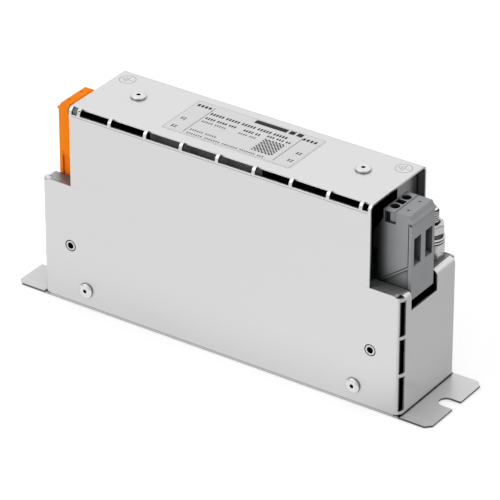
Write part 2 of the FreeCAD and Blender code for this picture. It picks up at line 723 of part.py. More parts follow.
def earth_stack():
    """Studs, collar nuts, washers, lock washers and nuts, in five nodes."""
    stacks = {"earth_studs": [], "earth_collar_nuts": [], "earth_washers": [],
              "earth_lock_washers": [], "earth_nuts": []}
    lower_foot = f"{SHOULDER} + Sizes.collar_height"
    upper_foot = f"{lower_foot} + Sizes.lower_washer_height + Sizes.washer_space"
    lock_foot = f"{upper_foot} + Sizes.upper_washer_height"
    nut_foot = f"{lock_foot} + Sizes.lock_washer_height"
    free_foot = f"{nut_foot} + Sizes.nut_height + Sizes.stud_free_gap"
    for number, end in enumerate(ENDS):
        spot = (f"{end} * ({EARTH_PLACE})", EARTH_DEPTH)
        stacks["earth_studs"].append(earth_stud("earth_stud_%d" % number, spot, free_foot))
        collar = hexagon("collar_%d" % number, "Sizes.hex_width", "Sizes.collar_height", *spot, SHOULDER)
        collar.Placement.Rotation = FreeCAD.Rotation(Z_AXIS, 30)
        stacks["earth_collar_nuts"].append(bored("collar_nut_%d" % number, collar, "Sizes.stud_core",
                                                 spot, SHOULDER, "Sizes.collar_height"))
        for level, foot in (("lower", lower_foot), ("upper", upper_foot)):
            name = "%s_washer_%d" % (level, number)
            height = "Sizes.%s_washer_height" % level
            disc = rod(name + "_disc", "Sizes.%s_washer_diameter" % level, height, *spot, foot)
            stacks["earth_washers"].append(bored(name, disc, "Sizes.stud_clearance", spot, foot, height))
        stacks["earth_lock_washers"].append(lock_washer("lock_washer_%d" % number, spot, lock_foot))
        nut = bevelled_nut("nut_%d" % number, spot, nut_foot)
        stacks["earth_nuts"].append(bored("earth_nut_%d" % number, nut, "Sizes.stud_core", spot, nut_foot,
                                          "Sizes.nut_height"))
    return [group(label, pieces) for label, pieces in stacks.items()]


def bored(name, piece, diameter, spot, foot, height):
    """The piece with a hole for the stud through it."""
    return without(name, piece, [rod(name + "_bore", diameter, height, *spot, foot)])


def cone(name, lower, upper, height, spot, foot):
    """Part cone on a vertical axis, its two radii given."""
    item = doc.addObject("Part::Cone", name)
    item.setExpression("Radius1", lower)
    item.setExpression("Radius2", upper)
    item.setExpression("Height", height)
    return place(item, *spot, foot)


def earth_stud(name, spot, free_foot):
    """Flat round head, thread at its pitch diameter through the nuts, free end at full size, bevelled."""
    head_top = f"{SHOULDER} - 2 * {GAUGE}"
    tip_foot = f"{head_top} + Sizes.stud_length - Sizes.stud_tip"
    head = rod(name + "_head", "Sizes.stud_head", "Sizes.stud_head_height", *spot,
               f"{head_top} - Sizes.stud_head_height")
    core = rod(name + "_core", "Sizes.stud_core", f"{free_foot} - ({head_top})", *spot, head_top)
    free = rod(name + "_free", "Sizes.stud_size", f"{tip_foot} - ({free_foot})", *spot, free_foot)
    tip = cone(name + "_tip", "Sizes.stud_size / 2", "Sizes.stud_size / 2 - Sizes.stud_tip",
               "Sizes.stud_tip", spot, tip_foot)
    return joined(name, [head, core, free, tip])


def lock_washer(name, spot, foot):
    """Split spring ring."""
    disc = rod(name + "_disc", "Sizes.lock_washer_diameter", "Sizes.lock_washer_height", *spot, foot)
    bore = rod(name + "_bore", "Sizes.stud_clearance", "Sizes.lock_washer_height", *spot, foot)
    split = block(name + "_split", "Sizes.lock_washer_diameter", "Sizes.lock_washer_split",
                  "Sizes.lock_washer_height", spot[0], f"{spot[1]} - Sizes.lock_washer_split / 2", foot)
    return without(name, disc, [bore, split])


def bevelled_nut(name, spot, foot):
    """Hexagon whose corners are turned off by a cone at the top and at the bottom."""
    corner = "Sizes.hex_width / sqrt(3)"
    rim = f"{corner} - Sizes.nut_bevel_width"
    bevel = "Sizes.nut_bevel"
    blank = hexagon(name + "_blank", "Sizes.hex_width", "Sizes.nut_height", *spot, foot)
    blank.Placement.Rotation = FreeCAD.Rotation(Z_AXIS, 8)
    lower = cone(name + "_lower", rim, corner, bevel, spot, foot)
    middle = rod(name + "_middle", f"2 * {corner}", f"Sizes.nut_height - 2 * {bevel}", *spot,
                 f"{foot} + {bevel}")
    upper = cone(name + "_upper", corner, rim, bevel, spot, f"{foot} + Sizes.nut_height - {bevel}")
    item = doc.addObject("Part::Common", name)
    item.Base = blank
    item.Tool = joined(name + "_envelope", [lower, middle, upper])
    return item


# Terminal blocks. Each is drawn with its front face at X = 0, its underside at Z = 0 and its middle at Y = 0

POLES = (1, -1)
HALF_WIDTH = "Sizes.terminal_width / 2"
POLE = "Sizes.terminal_pitch / 2"


def pole_rectangles(left, right, half_across):
    """One rectangle on each pole, in a plane seen from above."""
    return [rectangle(left, right, f"{side} * {POLE} - ({half_across})", f"{side} * {POLE} + ({half_across})")
            for side in POLES]


def terminal_housing(label, trim):
    """Moulded housing with wire funnels, screw shafts, side windows and a stepped foot."""
    item = body(label)
    pad(item, label + "Block", "XZ_Plane", f"-{HALF_WIDTH}", "Sizes.terminal_width", [[
        (f"-{trim}", "0"), (f"-{trim}", "Sizes.lip_bottom"),
        (f"Sizes.lip_depth - {trim}", "Sizes.lip_bottom + Sizes.lip_rise"),
        (f"Sizes.lip_depth - {trim}", "Sizes.lip_bottom + 2 * Sizes.lip_rise"),
        (f"-{trim} - Sizes.lip_hollow", "Sizes.lip_hollow_height"),
        (f"-{trim} - Sizes.brow_setback", "Sizes.terminal_height"),
        ("-Sizes.terminal_top_back", "Sizes.terminal_height"),
        ("-Sizes.terminal_top_back", "Sizes.terminal_shaft_foot"),
        ("-Sizes.terminal_belly", "Sizes.terminal_belly_top"),
        ("-Sizes.terminal_belly", "Sizes.terminal_belly_foot"),
        ("-Sizes.terminal_heel", "Sizes.terminal_belly_foot"),
        ("-Sizes.terminal_heel", "Sizes.terminal_heel_foot"),
        ("-Sizes.terminal_sole", "0")]])
    terminal_sides(item, label, f"-{trim} - Sizes.foot_seam_front")
    terminal_top(item, label)
    terminal_wire_rooms(item, label)
    return item


def terminal_sides(item, label, seam_front):
    """Stepped foot and barrel window on both flanks, seam and hook hole on the left one."""
    band = "Sizes.foot_band_width"
    foot = [
        (seam_front, "0"), (seam_front, f"Sizes.foot_seam_high - {band}"),
        ("-Sizes.foot_seam_back", f"Sizes.foot_seam_low - {band}"),
        ("-Sizes.terminal_heel", f"Sizes.foot_seam_low - {band}"),
        ("-Sizes.terminal_heel", "Sizes.terminal_heel_foot"), ("-Sizes.terminal_sole", "0")]
    line_width = "1.4 * Sizes.seam_width"
    foot_line = [
        (seam_front, f"Sizes.foot_seam_high - {line_width}"), (seam_front, "Sizes.foot_seam_high"),
        ("-Sizes.foot_seam_back", "Sizes.foot_seam_low"),
        ("-Sizes.foot_seam_back", f"Sizes.foot_seam_low - {line_width}")]
    seam = rectangle(f"{seam_front} - Sizes.seam_width", seam_front,
                     "Sizes.foot_seam_high - 2 * Sizes.seam_width", "Sizes.lip_bottom")
    window = rectangle("-Sizes.window_back", "-Sizes.window_front", "Sizes.window_foot", "Sizes.window_head")
    hook = (f"{seam_front} + Sizes.foot_seam_front - Sizes.hook_setback", "Sizes.hook_height",
            "Sizes.hook_hole")
    both = (("Foot", "Sizes.foot_recess_depth", foot), ("FootLine", "Sizes.seam_depth", foot_line),
            ("Window", "Sizes.window_depth", window))
    left = (("Seam", "Sizes.seam_depth", seam), ("Hook", "Sizes.window_depth", hook))
    for name, depth, shape in both + left:
        pocket(item, label + "Left" + name, "XZ_Plane", f"-{HALF_WIDTH}", depth, [shape])
    for name, depth, shape in both:
        pocket(item, label + "Right" + name, "XZ_Plane", f"{HALF_WIDTH} - {depth}", depth, [shape])
    barrel = "Sizes.screw_shaft + 2 * Sizes.barrel_wall"
    pad(item, label + "Barrels", "XY_Plane", "Sizes.window_foot", "Sizes.window_head - Sizes.window_foot", [
        ("-Sizes.screw_setback", f"{side} * {POLE}", barrel) for side in POLES])


def terminal_top(item, label):
    """Screw shafts, the recess between them, the groove and the probe holes."""
    cage_top = "Sizes.cage_foot + Sizes.cage_height"
    pocket(item, label + "Shafts", "XY_Plane", cage_top, f"Sizes.terminal_height - ({cage_top})", [
        ("-Sizes.screw_setback", f"{side} * {POLE}", "Sizes.screw_shaft") for side in POLES])
    pocket(item, label + "Key", "XY_Plane", "Sizes.terminal_height - Sizes.key_recess_depth",
           "Sizes.key_recess_depth", [rectangle(
               "-Sizes.screw_setback - Sizes.key_recess / 2", "-Sizes.screw_setback + Sizes.key_recess / 2",
               "-Sizes.key_recess_across / 2", "Sizes.key_recess_across / 2")])
    pocket(item, label + "Groove", "XY_Plane", "Sizes.terminal_height - Sizes.seam_depth",
           "Sizes.seam_depth", [rectangle(
               "-Sizes.top_groove_setback - Sizes.seam_width", "-Sizes.top_groove_setback",
               f"-{HALF_WIDTH}", HALF_WIDTH)])
    pocket(item, label + "Probes", "XY_Plane", "Sizes.terminal_height - Sizes.probe_depth",
           "Sizes.probe_depth", [("-Sizes.probe_setback", f"{side} * {POLE}", "Sizes.probe_hole")
                                 for side in POLES])


def terminal_wire_rooms(item, label):
    """Wire openings with sloping floors, the rooms of the cages and the slots of the contacts."""
    half_wire = "Sizes.wire_width / 2"
    cage_back = "-Sizes.cage_front - Sizes.cage_length - Sizes.cage_room"
    for number, side in enumerate(POLES):
        near_wall = f"{side} * {POLE} - {half_wire}"
        pocket(item, "%sWire%d" % (label, number), "XZ_Plane", near_wall, "Sizes.wire_width", [[
            ("0", "Sizes.wire_bottom - Sizes.funnel_drop"), ("0", "Sizes.wire_top"),
            (f"-Sizes.cage_front", "Sizes.wire_top"), (f"-Sizes.cage_front", "Sizes.wire_bottom"),
            ("-Sizes.funnel_depth", "Sizes.wire_bottom")]])
    pocket(item, label + "CageRooms", "XY_Plane", "Sizes.cage_foot - Sizes.cage_room",
           "Sizes.cage_height + 2 * Sizes.cage_room", pole_rectangles(
               cage_back, "-Sizes.cage_front + Sizes.cage_room", "Sizes.cage_width / 2 + Sizes.cage_room"))
    leg_front = "-Sizes.screw_setback + Sizes.contact_gauge / 2 + Sizes.contact_room"
    leg_back = "-Sizes.screw_setback - Sizes.contact_gauge / 2 - Sizes.contact_room"
    pocket(item, label + "ContactSlots", "XY_Plane", "0", "Sizes.cage_foot", pole_rectangles(
        leg_back, leg_front, "Sizes.contact_width / 2 + Sizes.contact_room"))


def clamp_cage(name, side):
    """Steel frame open towards the wire, with a tapped hole under the screw shaft."""
    width = "Sizes.cage_width"
    near_side = f"{side} * {POLE} - {width} / 2"
    outside = block(name + "_outside", "Sizes.cage_length", width, "Sizes.cage_height",
                    "-Sizes.cage_front - Sizes.cage_length", near_side, "Sizes.cage_foot")
    inside = block(name + "_inside", "Sizes.cage_length", f"{width} - 2 * Sizes.cage_wall",
                   "Sizes.cage_height - 2 * Sizes.cage_wall", "-Sizes.cage_front - Sizes.cage_length",
                   f"{near_side} + Sizes.cage_wall", "Sizes.cage_foot + Sizes.cage_wall")
    tapped = rod(name + "_tapped", "Sizes.clamp_shank", "Sizes.cage_wall", "-Sizes.screw_setback",
                 f"{side} * {POLE}", "Sizes.cage_foot + Sizes.cage_height - Sizes.cage_wall")
    leg = block(name + "_leg_slot", "Sizes.contact_gauge", "Sizes.contact_width", "Sizes.cage_wall",
                "-Sizes.screw_setback - Sizes.contact_gauge / 2",
                f"{side} * {POLE} - Sizes.contact_width / 2", "Sizes.cage_foot")
    return without(name, outside, [inside, tapped, leg])


def clamp_screw(name, side):
    """Slotted cheese head with its shank through the top of the cage."""
    spot = ("-Sizes.screw_setback", f"{side} * {POLE}")
    head_foot = "Sizes.clamp_head_top - Sizes.clamp_head_height"
    head = rod(name + "_head", "Sizes.clamp_head", "Sizes.clamp_head_height", *spot, head_foot)
    shank = rod(name + "_shank", "Sizes.clamp_shank", f"{head_foot} - Sizes.clamp_tip", *spot,
                "Sizes.clamp_tip")
    slot = block(name + "_slot", "Sizes.clamp_head", "Sizes.clamp_slot_width", "Sizes.clamp_slot_depth",
                 "-Sizes.screw_setback - Sizes.clamp_head / 2",
                 f"{side} * {POLE} - Sizes.clamp_slot_width / 2",
                 "Sizes.clamp_head_top - Sizes.clamp_slot_depth")
    return without(name, joined(name + "_blank", [head, shank]), [slot])


def contact(name, side):
    """Flat bar on the floor of the cage and a leg down through the board."""
    near_side = f"{side} * {POLE} - Sizes.contact_width / 2"
    bar_foot = "Sizes.cage_foot + Sizes.cage_wall"
    leg_foot = "-Sizes.board_gauge - Sizes.pin_below_board"
    bar = block(name + "_bar", "Sizes.cage_length", "Sizes.contact_width", "Sizes.contact_gauge",
                "-Sizes.cage_front - Sizes.cage_length", near_side, bar_foot)
    leg = block(name + "_leg", "Sizes.contact_gauge", "Sizes.contact_width",
                f"{bar_foot} - ({leg_foot})", "-Sizes.screw_setback - Sizes.contact_gauge / 2",
                near_side, leg_foot)
    return joined(name, [bar, leg])


def terminal(prefix, end, turn):
    """Housing, cages, screws and contacts of one block, seated on the board at one end."""
    inset = "Sizes.%s_terminal_inset" % prefix
    seat = (f"{end} * ({HALF_LENGTH} - {inset})", "Sizes.terminal_depth_place", "Sizes.board_top")
    nodes = [terminal_housing(prefix + "_terminal_housing", "Sizes.%s_front_trim" % prefix)]
    for label, make in (("clamp_cages", clamp_cage), ("clamp_screws", clamp_screw), ("contacts", contact)):
        pieces = [make("%s_%s_%d" % (prefix, label, number), side) for number, side in enumerate(POLES)]
        nodes.append(group(prefix + "_" + label, pieces))
    for node in nodes:
        place(node, *seat, Z_AXIS, turn)
    return nodes


# Circuit board on four pillars

def board_spots():
    """The four corners where pillars and screws stand."""
    return [(f"{end} * {PILLAR_PLACE}", f"{side} * Sizes.pillar_depth")
            for end in ENDS for side in (1, -1)]


def circuit_board():
    """Board with slots for the contact legs and holes for screws and winding ends."""
    item = body("circuit_board")
    half_span = f"{HALF_LENGTH} - Sizes.board_end_gap"
    half_depth = f"{HALF_DEPTH} - {GAUGE} - {GAUGE} - Sizes.board_side_gap"
    pad(item, "Board", "XY_Plane", BOARD_FOOT, "Sizes.board_gauge", [
        rectangle(f"-({half_span})", half_span, f"-({half_depth})", half_depth)])
    for prefix, end in (("load", 1), ("line", -1)):
        leg = f"({HALF_LENGTH} - Sizes.{prefix}_terminal_inset - Sizes.screw_setback)"
        slots = []
        for side in POLES:
            middle = f"Sizes.terminal_depth_place + {side} * {POLE}"
            half = "Sizes.contact_width / 2"
            edge = "Sizes.contact_gauge / 2"
            slots.append(rectangle(f"{end} * {leg} - {edge}", f"{end} * {leg} + {edge}",
                                   f"{middle} - {half}", f"{middle} + {half}"))
        pocket(item, prefix + "ContactHoles", "XY_Plane", BOARD_FOOT, "Sizes.board_gauge", slots)
    holes = [spot + ("Sizes.pillar_bore + Sizes.board_screw_play",) for spot in board_spots()]
    for across, deep in lead_spots():
        holes += [square(across, deep, "Sizes.lead_width"), square(deep, across, "Sizes.lead_width")]
    for side in (1, -1):
        holes.append(square("Sizes.resistor_place", f"{side} * Sizes.resistor_length / 3",
                            "Sizes.part_lead_width"))
        for end in ENDS:
            holes.append(square(f"{end} * Sizes.x_capacitor_place", f"{side} * Sizes.x_capacitor_depth / 3",
                                "Sizes.part_lead_width"))
    pocket(item, "BoardHoles", "XY_Plane", BOARD_FOOT, "Sizes.board_gauge", holes)
    return item


def board_pillars():
    """Hexagon pillars pressed into the base plate, tapped at the top."""
    pieces = []
    for number, spot in enumerate(board_spots()):
        name = "pillar_%d" % number
        shank = hexagon(name + "_shank", "Sizes.pillar_width", f"{BOARD_FOOT} - {GAUGE}", *spot, GAUGE)
        spigot = rod(name + "_spigot", "Sizes.pillar_spigot", GAUGE, *spot, "0")
        bore = rod(name + "_bore", "Sizes.pillar_bore", "Sizes.pillar_bore_depth", *spot,
                   f"{BOARD_FOOT} - Sizes.pillar_bore_depth")
        pieces.append(without(name, joined(name + "_blank", [shank, spigot]), [bore]))
    return group("board_pillars", pieces)


def board_screws():
    """Pan-head screws down through the board into the pillars."""
    pieces = []
    for number, spot in enumerate(board_spots()):
        name = "board_screw_%d" % number
        head = rod(name + "_head", "Sizes.board_screw_head", "Sizes.board_screw_head_height", *spot,
                   "Sizes.board_top")
        shank = rod(name + "_shank", "Sizes.pillar_bore", "Sizes.board_screw_length", *spot,
                    "Sizes.board_top - Sizes.board_screw_length")
        pieces.append(joined(name, [head, shank]))
    return group("board_screws", pieces)


# Common-mode chokes, drawn above Z = 0 with the ring lying flat

CORE_FOOT = "Sizes.choke_seat + Sizes.winding_build"
CHOKES = (("upper", "Sizes.board_top", Z_AXIS, 0, ("front", "back")),
          ("lower", BOARD_FOOT, X_AXIS + Y_AXIS, 180, ("left", "right")))


def lead_spots():
    """Where the four ends of the two windings pass the board."""
    return [(f"{across} * Sizes.lead_place", f"{side} * Sizes.lead_side")
            for across in (1, -1) for side in (1, -1)]


def choke_core():
    """Section of the ring core."""
    return rectangle("Sizes.core_inner / 2", "Sizes.core_outer / 2", CORE_FOOT,
                     f"{CORE_FOOT} + Sizes.core_height")


def winding(name, side):
    """Copper layer wrapped round part of the ring, with its two ends led into the board."""
    build = "Sizes.winding_build"
    foot = f"{CORE_FOOT} - {build}"
    item = body(name + "_wrap")
    feature = item.newObject("PartDesign::Revolution", name + "_turn")
    outline = sketch(item, name + "_section", "XZ_Plane", "0", [
        rectangle(f"Sizes.core_inner / 2 - {build}", f"Sizes.core_outer / 2 + {build}", foot,
                  f"{CORE_FOOT} + Sizes.core_height + {build}"),
        choke_core()])
    feature.Profile = outline
    feature.ReferenceAxis = (outline, ["V_Axis"])
    feature.setExpression("Angle", "Sizes.winding_turn")
    doc.recompute()
    start = 90 * side - SIZES["winding_turn"] / 2
    place(item, "0", "0", "0", Z_AXIS, start)
    item.setExpression("Placement.Rotation.Angle", f"{90 * side} - Sizes.winding_turn / 2")
    leads = [pin("%s_lead_%d" % (name, number), "Sizes.lead_width",
                 f"{foot} + Sizes.board_gauge + {build} / 2", f"{across} * Sizes.lead_place",
                 f"{side} * Sizes.lead_side", "-Sizes.board_gauge")
             for number, across in enumerate((1, -1))]
    return joined(name, [item] + leads)


def choke_seat(name):
    """Moulded disc between the choke and the board."""
    disc = rod(name + "_disc", "Sizes.seat_diameter", "Sizes.choke_seat", "0", "0", "0")
    holes = [pin("%s_hole_%d" % (name, number), "Sizes.lead_width", "Sizes.choke_seat", *spot, "0")
             for number, spot in enumerate(lead_spots())]
    return without(name, disc, holes)


def divider(name):
    """Insulating plate across the middle of the ring."""
    item = body(name)
    half_span = "Sizes.core_inner / 2 - Sizes.choke_play"
    half_gauge = "Sizes.divider_gauge / 2"
    pad(item, name + "Plate", "XY_Plane", "Sizes.choke_seat", "Sizes.core_height + 2 * Sizes.winding_build",
        [rectangle(f"-({half_span})", half_span, f"-{half_gauge}", half_gauge)])
    return item


def choke(prefix, level, axis, turn, winding_names):
    """Core, seat, divider and two windings, on one side of the board."""
    core = turned(prefix + "_choke_core", choke_core())
    nodes = [core, choke_seat(prefix + "_choke_seat"), divider(prefix + "_choke_divider")]
    for label, side in zip(winding_names, (-1, 1)):
        nodes.append(winding("%s_%s_winding" % (prefix, label), side))
    for node in nodes:
        place(node, "0", "0", level, axis, turn)
    return nodes


# Capacitors and resistor

def x_capacitors():
    """Two box capacitors on the board, their leads in it."""
    pieces = []
    for number, end in enumerate(ENDS):
        item = body("x_capacitor_%d" % number)
        half = "Sizes.x_capacitor_length / 2"
        deep = "Sizes.x_capacitor_depth / 2"
        pad(item, "XBox%d" % number, "XY_Plane", "0", "Sizes.x_capacitor_height", [
            rectangle(f"-{half}", half, f"-{deep}", deep)])
        pad(item, "XLeads%d" % number, "XY_Plane", "-Sizes.board_gauge", "Sizes.board_gauge", [
            square("0", f"{side} * Sizes.x_capacitor_depth / 3", "Sizes.part_lead_width")
            for side in (1, -1)])
        pieces.append(place(item, f"{end} * Sizes.x_capacitor_place", "0", "Sizes.board_top"))
    return group("x_capacitors", pieces)


def y_capacitors():
    """Two disc capacitors on short leads under the board."""
    pieces = []
    for number, end in enumerate(ENDS):
        name = "y_capacitor_%d" % number
        radius = "Sizes.y_capacitor_diameter / 2"
        middle = f"{BOARD_FOOT} - Sizes.part_lead_length - {radius}"
        disc = rod(name + "_disc", "Sizes.y_capacitor_diameter", "Sizes.y_capacitor_gauge",
                   f"{end} * Sizes.y_capacitor_place", "Sizes.y_capacitor_gauge / 2", middle, X_AXIS, 90)
        leads = [pin("%s_lead_%d" % (name, count), "Sizes.part_lead_width",
                     f"Sizes.part_lead_length + {radius}",
                     f"{end} * Sizes.y_capacitor_place + {side} * {radius} / 2", "0", middle)
                 for count, side in enumerate((1, -1))]
        pieces.append(joined(name, [disc] + leads))
    return group("y_capacitors", pieces)


def bleed_resistor():
    """Block resistor against the underside of the board, its leads in it."""
    item = body("bleed_resistor")
    half_width = "Sizes.resistor_width / 2"
    half_span = "Sizes.resistor_length / 2"
    left = f"Sizes.resistor_place - {half_width}"
    right = f"Sizes.resistor_place + {half_width}"
    pad(item, "ResistorBlock", "XY_Plane", f"{BOARD_FOOT} - Sizes.resistor_width", "Sizes.resistor_width",
        [rectangle(left, right, f"-{half_span}", half_span)])
    pad(item, "ResistorLeads", "XY_Plane", BOARD_FOOT, "Sizes.board_gauge", [
        square("Sizes.resistor_place", f"{side} * Sizes.resistor_length / 3", "Sizes.part_lead_width")
        for side in (1, -1)])
    return item


NODES = [cover(), base_plate(), end_bracket("load_end_bracket", 1), end_bracket("line_end_bracket", -1),
         side_rivets("front_rivets", -1, 90), side_rivets("back_rivets", 1, -90), top_rivets(),
         threaded_standoffs()]
NODES += earth_stack()
NODES += terminal("load", 1, 0)
NODES += terminal("line", -1, 180)
NODES += [circuit_board(), board_pillars(), board_screws()]
for choke_make in CHOKES:
    NODES += choke(*choke_make)
NODES += [x_capacitors(), y_capacitors(), bleed_resistor()]
doc.recompute()

for member in doc.Objects:
    if "Invalid" in member.State or "Error" in member.State:
        raise ValueError("%s failed: %s" % (member.Label, member.State))
for node in NODES:
    if node.Shape.isNull() or not node.Shape.isValid():
        raise ValueError(node.Label + " has no sound shape")

os.makedirs("parts", exist_ok=True)
for node in NODES:
    node.Shape.exportStep("parts/%s.step" % node.Label)
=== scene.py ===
import math
import bpy
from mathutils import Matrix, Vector


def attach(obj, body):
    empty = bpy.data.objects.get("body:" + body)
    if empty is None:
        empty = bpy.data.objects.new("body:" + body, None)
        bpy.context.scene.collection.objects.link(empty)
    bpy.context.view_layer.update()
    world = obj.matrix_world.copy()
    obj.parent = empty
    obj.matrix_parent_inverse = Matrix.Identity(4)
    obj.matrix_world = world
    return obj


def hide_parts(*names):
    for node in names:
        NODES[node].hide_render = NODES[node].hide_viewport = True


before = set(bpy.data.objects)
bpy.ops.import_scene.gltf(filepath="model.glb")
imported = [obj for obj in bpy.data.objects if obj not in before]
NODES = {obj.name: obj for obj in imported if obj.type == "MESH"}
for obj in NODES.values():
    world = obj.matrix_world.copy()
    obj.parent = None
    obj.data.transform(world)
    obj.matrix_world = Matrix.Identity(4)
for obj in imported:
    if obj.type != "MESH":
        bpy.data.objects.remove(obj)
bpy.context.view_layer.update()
MM = 0.001
ENDS = (1, -1)
WHITE = (1, 1, 1)


def grey(level):
    """Neutral colour of one level."""
    return (level, level, level)


# Earth studs and the roof, in millimetres; heads and tips are (radius, height) rings

TOP = 105.0
EARTH_X, EARTH_Y = 90.35, 17.2
STUD_RADIUS = 3.0
STUD_HEAD = ((4.2, 59.2), (4.5, 59.5), (4.5, 61.2), (STUD_RADIUS, 61.2))
STUD_END = 88.1
STUD_TIP = ((2.3, STUD_END - 0.6), (2.3, STUD_END - 0.45), (1.7, STUD_END - 0.1), (1.2, STUD_END))
STUD_SMOOTH_ANGLE = 40
THREAD_FOOT = 76.0
THREAD_HEAD = STUD_END - 0.5
THREAD_PITCH = 1.2
THREAD_DEPTH = 0.6
THREAD_RUNOUT = 0.6
CREST_SLOPE = 2.2


# Rating plate and earth signs, in millimetres; bars are (left, near, length, height)

LABEL_LEFT, LABEL_RIGHT = -36.8, 33.9
LABEL_NEAR, LABEL_FAR = -14.7, 16.3
LABEL_CORNER = 0.8
LABEL_INSET = 0.45
RULE_HEIGHT, RULE_WIDTH = 0.16, 0.2
FILM_TOP = TOP + 0.12
INK_TOP = FILM_TOP + 0.015
GROUP_GAP = 2.6

# Rows of ticks: start, end, middle, height, ticks in a group, tick length, gap
DARK_ROWS = ((-34.6, -25.9, 12.2, 2.1, 4, 1.3, 0.75),
             (23.9, 33.2, 11.7, 2.1, 4, 1.3, 0.75),
             (-24.6, 17.4, 8.2, 2.0, 5, 0.95, 0.6),
             (-24.3, -6.6, 3.6, 1.8, 4, 0.85, 0.55),
             (-3.2, 5.9, 3.6, 1.8, 4, 0.85, 0.55),
             (8.9, 21.4, 4.9, 1.6, 3, 0.85, 0.55))
PALE_ROWS = ((-24.0, -11.0, 0.1, 1.5, 5, 0.65, 0.6),
             (-3.7, 6.0, 0.1, 1.5, 4, 0.65, 0.6),
             (-24.1, -9.5, -9.2, 1.4, 6, 0.65, 0.6),
             (-23.7, 18.4, -12.6, 1.3, 7, 0.65, 0.6))
DARK_BARS = ((-25.85, -13.0, 0.3, 26.4), (23.4, -12.6, 0.3, 24.8), (-3.6, 12.3, 17.6, 3.0),
             (15.2, 12.3, 3.0, 3.0), (19.4, 12.3, 3.0, 3.0))
MARK_CORNERS = ((-33.9, -3.4), (-33.4, -11.7), (28.7, -1.9), (29.0, -9.4))
MARK_BARS = ((0, 0, 0.7, 2.1), (1.3, 0, 1.3, 0.7), (1.3, 1.4, 1.3, 0.7))
CHECK_LEFT, CHECK_NEAR = 9.4, -9.7
CHECK_ROWS, CHECK_COLUMNS = 13, 12
CHECK_CELL = 0.94

SIGN_X, SIGN_Y = 76.3, 14.4
SIGN_TOP = TOP + 0.012
SIGN_INNER, SIGN_OUTER = 3.85, 4.1
# Cross bars of the sign: place along the case, half length
SIGN_BARS = ((0.1, 2.7), (-1.2, 1.75), (-2.45, 0.75))
SIGN_BAR_HALF = 0.13
SIGN_STEM = (0.23, 3.4)
SIGN_STEM_HALF = 0.1


# Card under the roof and tongue under the corner relief, in millimetres

CARD_GAUGE = 0.3
# Strips of the card: right, left, profile of (depth, height)
CARD_STRIPS = ((20.6, -41.4, ((-16.4, 92.0), (-16.4, 103.1), (-15.6, 103.9), (17.0, 103.9))),
               (-77.9, -84.1, ((-22.0, 100.4), (-22.0, 103.0), (-20.9, 103.9), (-17.0, 103.9))))
TONGUE_LOW, TONGUE_HIGH = 62.1, 62.95
TONGUE_OUTLINE = ((-95.6, -19.4), (-99.0, -19.4), (-99.0, -20.4), (-98.8, -21.4), (-98.3, -22.2),
                  (-97.6, -22.7), (-96.8, -22.9), (-95.6, -22.9))


# Zones for the materials, in metres. Across, deep and up are the coordinates, reach and depth the
# distances from the middle along and across the case, and radius the one from an upright axis.

FAR = 1.0
# Thin edge on the end panels, painted as a highlight
PANEL_EDGE_HIGHLIGHT = {"deep": (-0.01915, -0.01905), "reach": (0.0985, FAR)}
# Rooms inside the case and the foot of the end panels, painted with shade where no light reaches
LOWER_ROOM = {"up": (0.0009, 0.0623), "reach": (-FAR, 0.09905), "depth": (-FAR, 0.02225)}
UPPER_ROOM = {"up": (0.0015, 0.10405), "reach": (-FAR, 0.0787), "depth": (-FAR, 0.02225)}
PANEL_FOOT_SHADE = {"up": (0.00095, 0.0014), "reach": (0.0985, 0.1002)}
# Ledges, painted darker as shade
LEDGES = {"up": (0.0630, 0.0634), "reach": (0.0787, 0.0972)}
FLANGE_EDGE = {"up": (0.00004, 0.00094), "reach": (0.0992, FAR)}
# A dark line under the row of slots
SLOT_LINE = {"up": (0.10055, 0.1008), "deep": (-FAR, -0.0231), "reach": (-FAR, 0.0813)}
# Gap along the front's foot, painted with shade
FRONT_FOOT_SHADE = {"up": (0.00095, 0.0013), "deep": (-FAR, -0.0231)}
# Rivet tails inside the case, painted with shade
RIVET_TAILS = {"up": (0.0, 0.1039), "deep": (-0.0222, 0.0222)}
INSERT_FACE = -0.02305
BOARD_END_SHADE = {"reach": (0.08, FAR)}

# Zones with the strength of each
# Painted shade on faces inside the case and in the gap under the end panels
UNLIT = ((LOWER_ROOM, 1.0), (UPPER_ROOM, 1.0), (PANEL_FOOT_SHADE, 1.0))
# Darker cut edges on the flanges, a dark line under the row of slots and painted shade along the front's foot
DARK_LINES = ((FLANGE_EDGE, 1.0), (SLOT_LINE, 0.8), (FRONT_FOOT_SHADE, 0.7))

# Earth hardware: radius from the stud's axis
# Painted shade on the hardware: the nut's crown, the thread roots, the stud's entry into the nut and lines
# where the pieces meet
NUT_CROWN = {"up": (0.0797, 0.0811), "radius": (0.0031, 0.01)}
THREAD_SHADE = (({"up": (0.0812, 0.0874), "radius": (-FAR, 0.00294)}, 1.0),
                ({"up": (0.0795, 0.0817), "radius": (-FAR, 0.0037)}, 1.0))
NUT_SEAM_SHADE = (({"up": (0.0709, 0.0711)}, 1.0), ({"up": (0.0757, 0.0761)}, 1.0),
             ({"up": (0.08715, 0.0876)}, 1.0))
WASHER_SEAM_SHADE = (({"up": (0.0709, 0.07175)}, 1.0), ({"up": (0.07245, 0.0733)}, 1.0))

# Terminal blocks: pole is how far outside the line of the shafts, along the distance from their middle
BLOCK_MIDDLE = -0.0048
HALF_PITCH = 0.00475
LOAD_SHAFTS, LINE_SHAFTS = 0.0870, -0.0857
SCREW_SHAFT = {"up": (0.05, 0.1), "radius": (-FAR, 0.0023)}
KEY_RECESS = {"up": (0.05, 0.1), "pole": (-FAR, -0.0026), "along": (-FAR, 0.0026)}
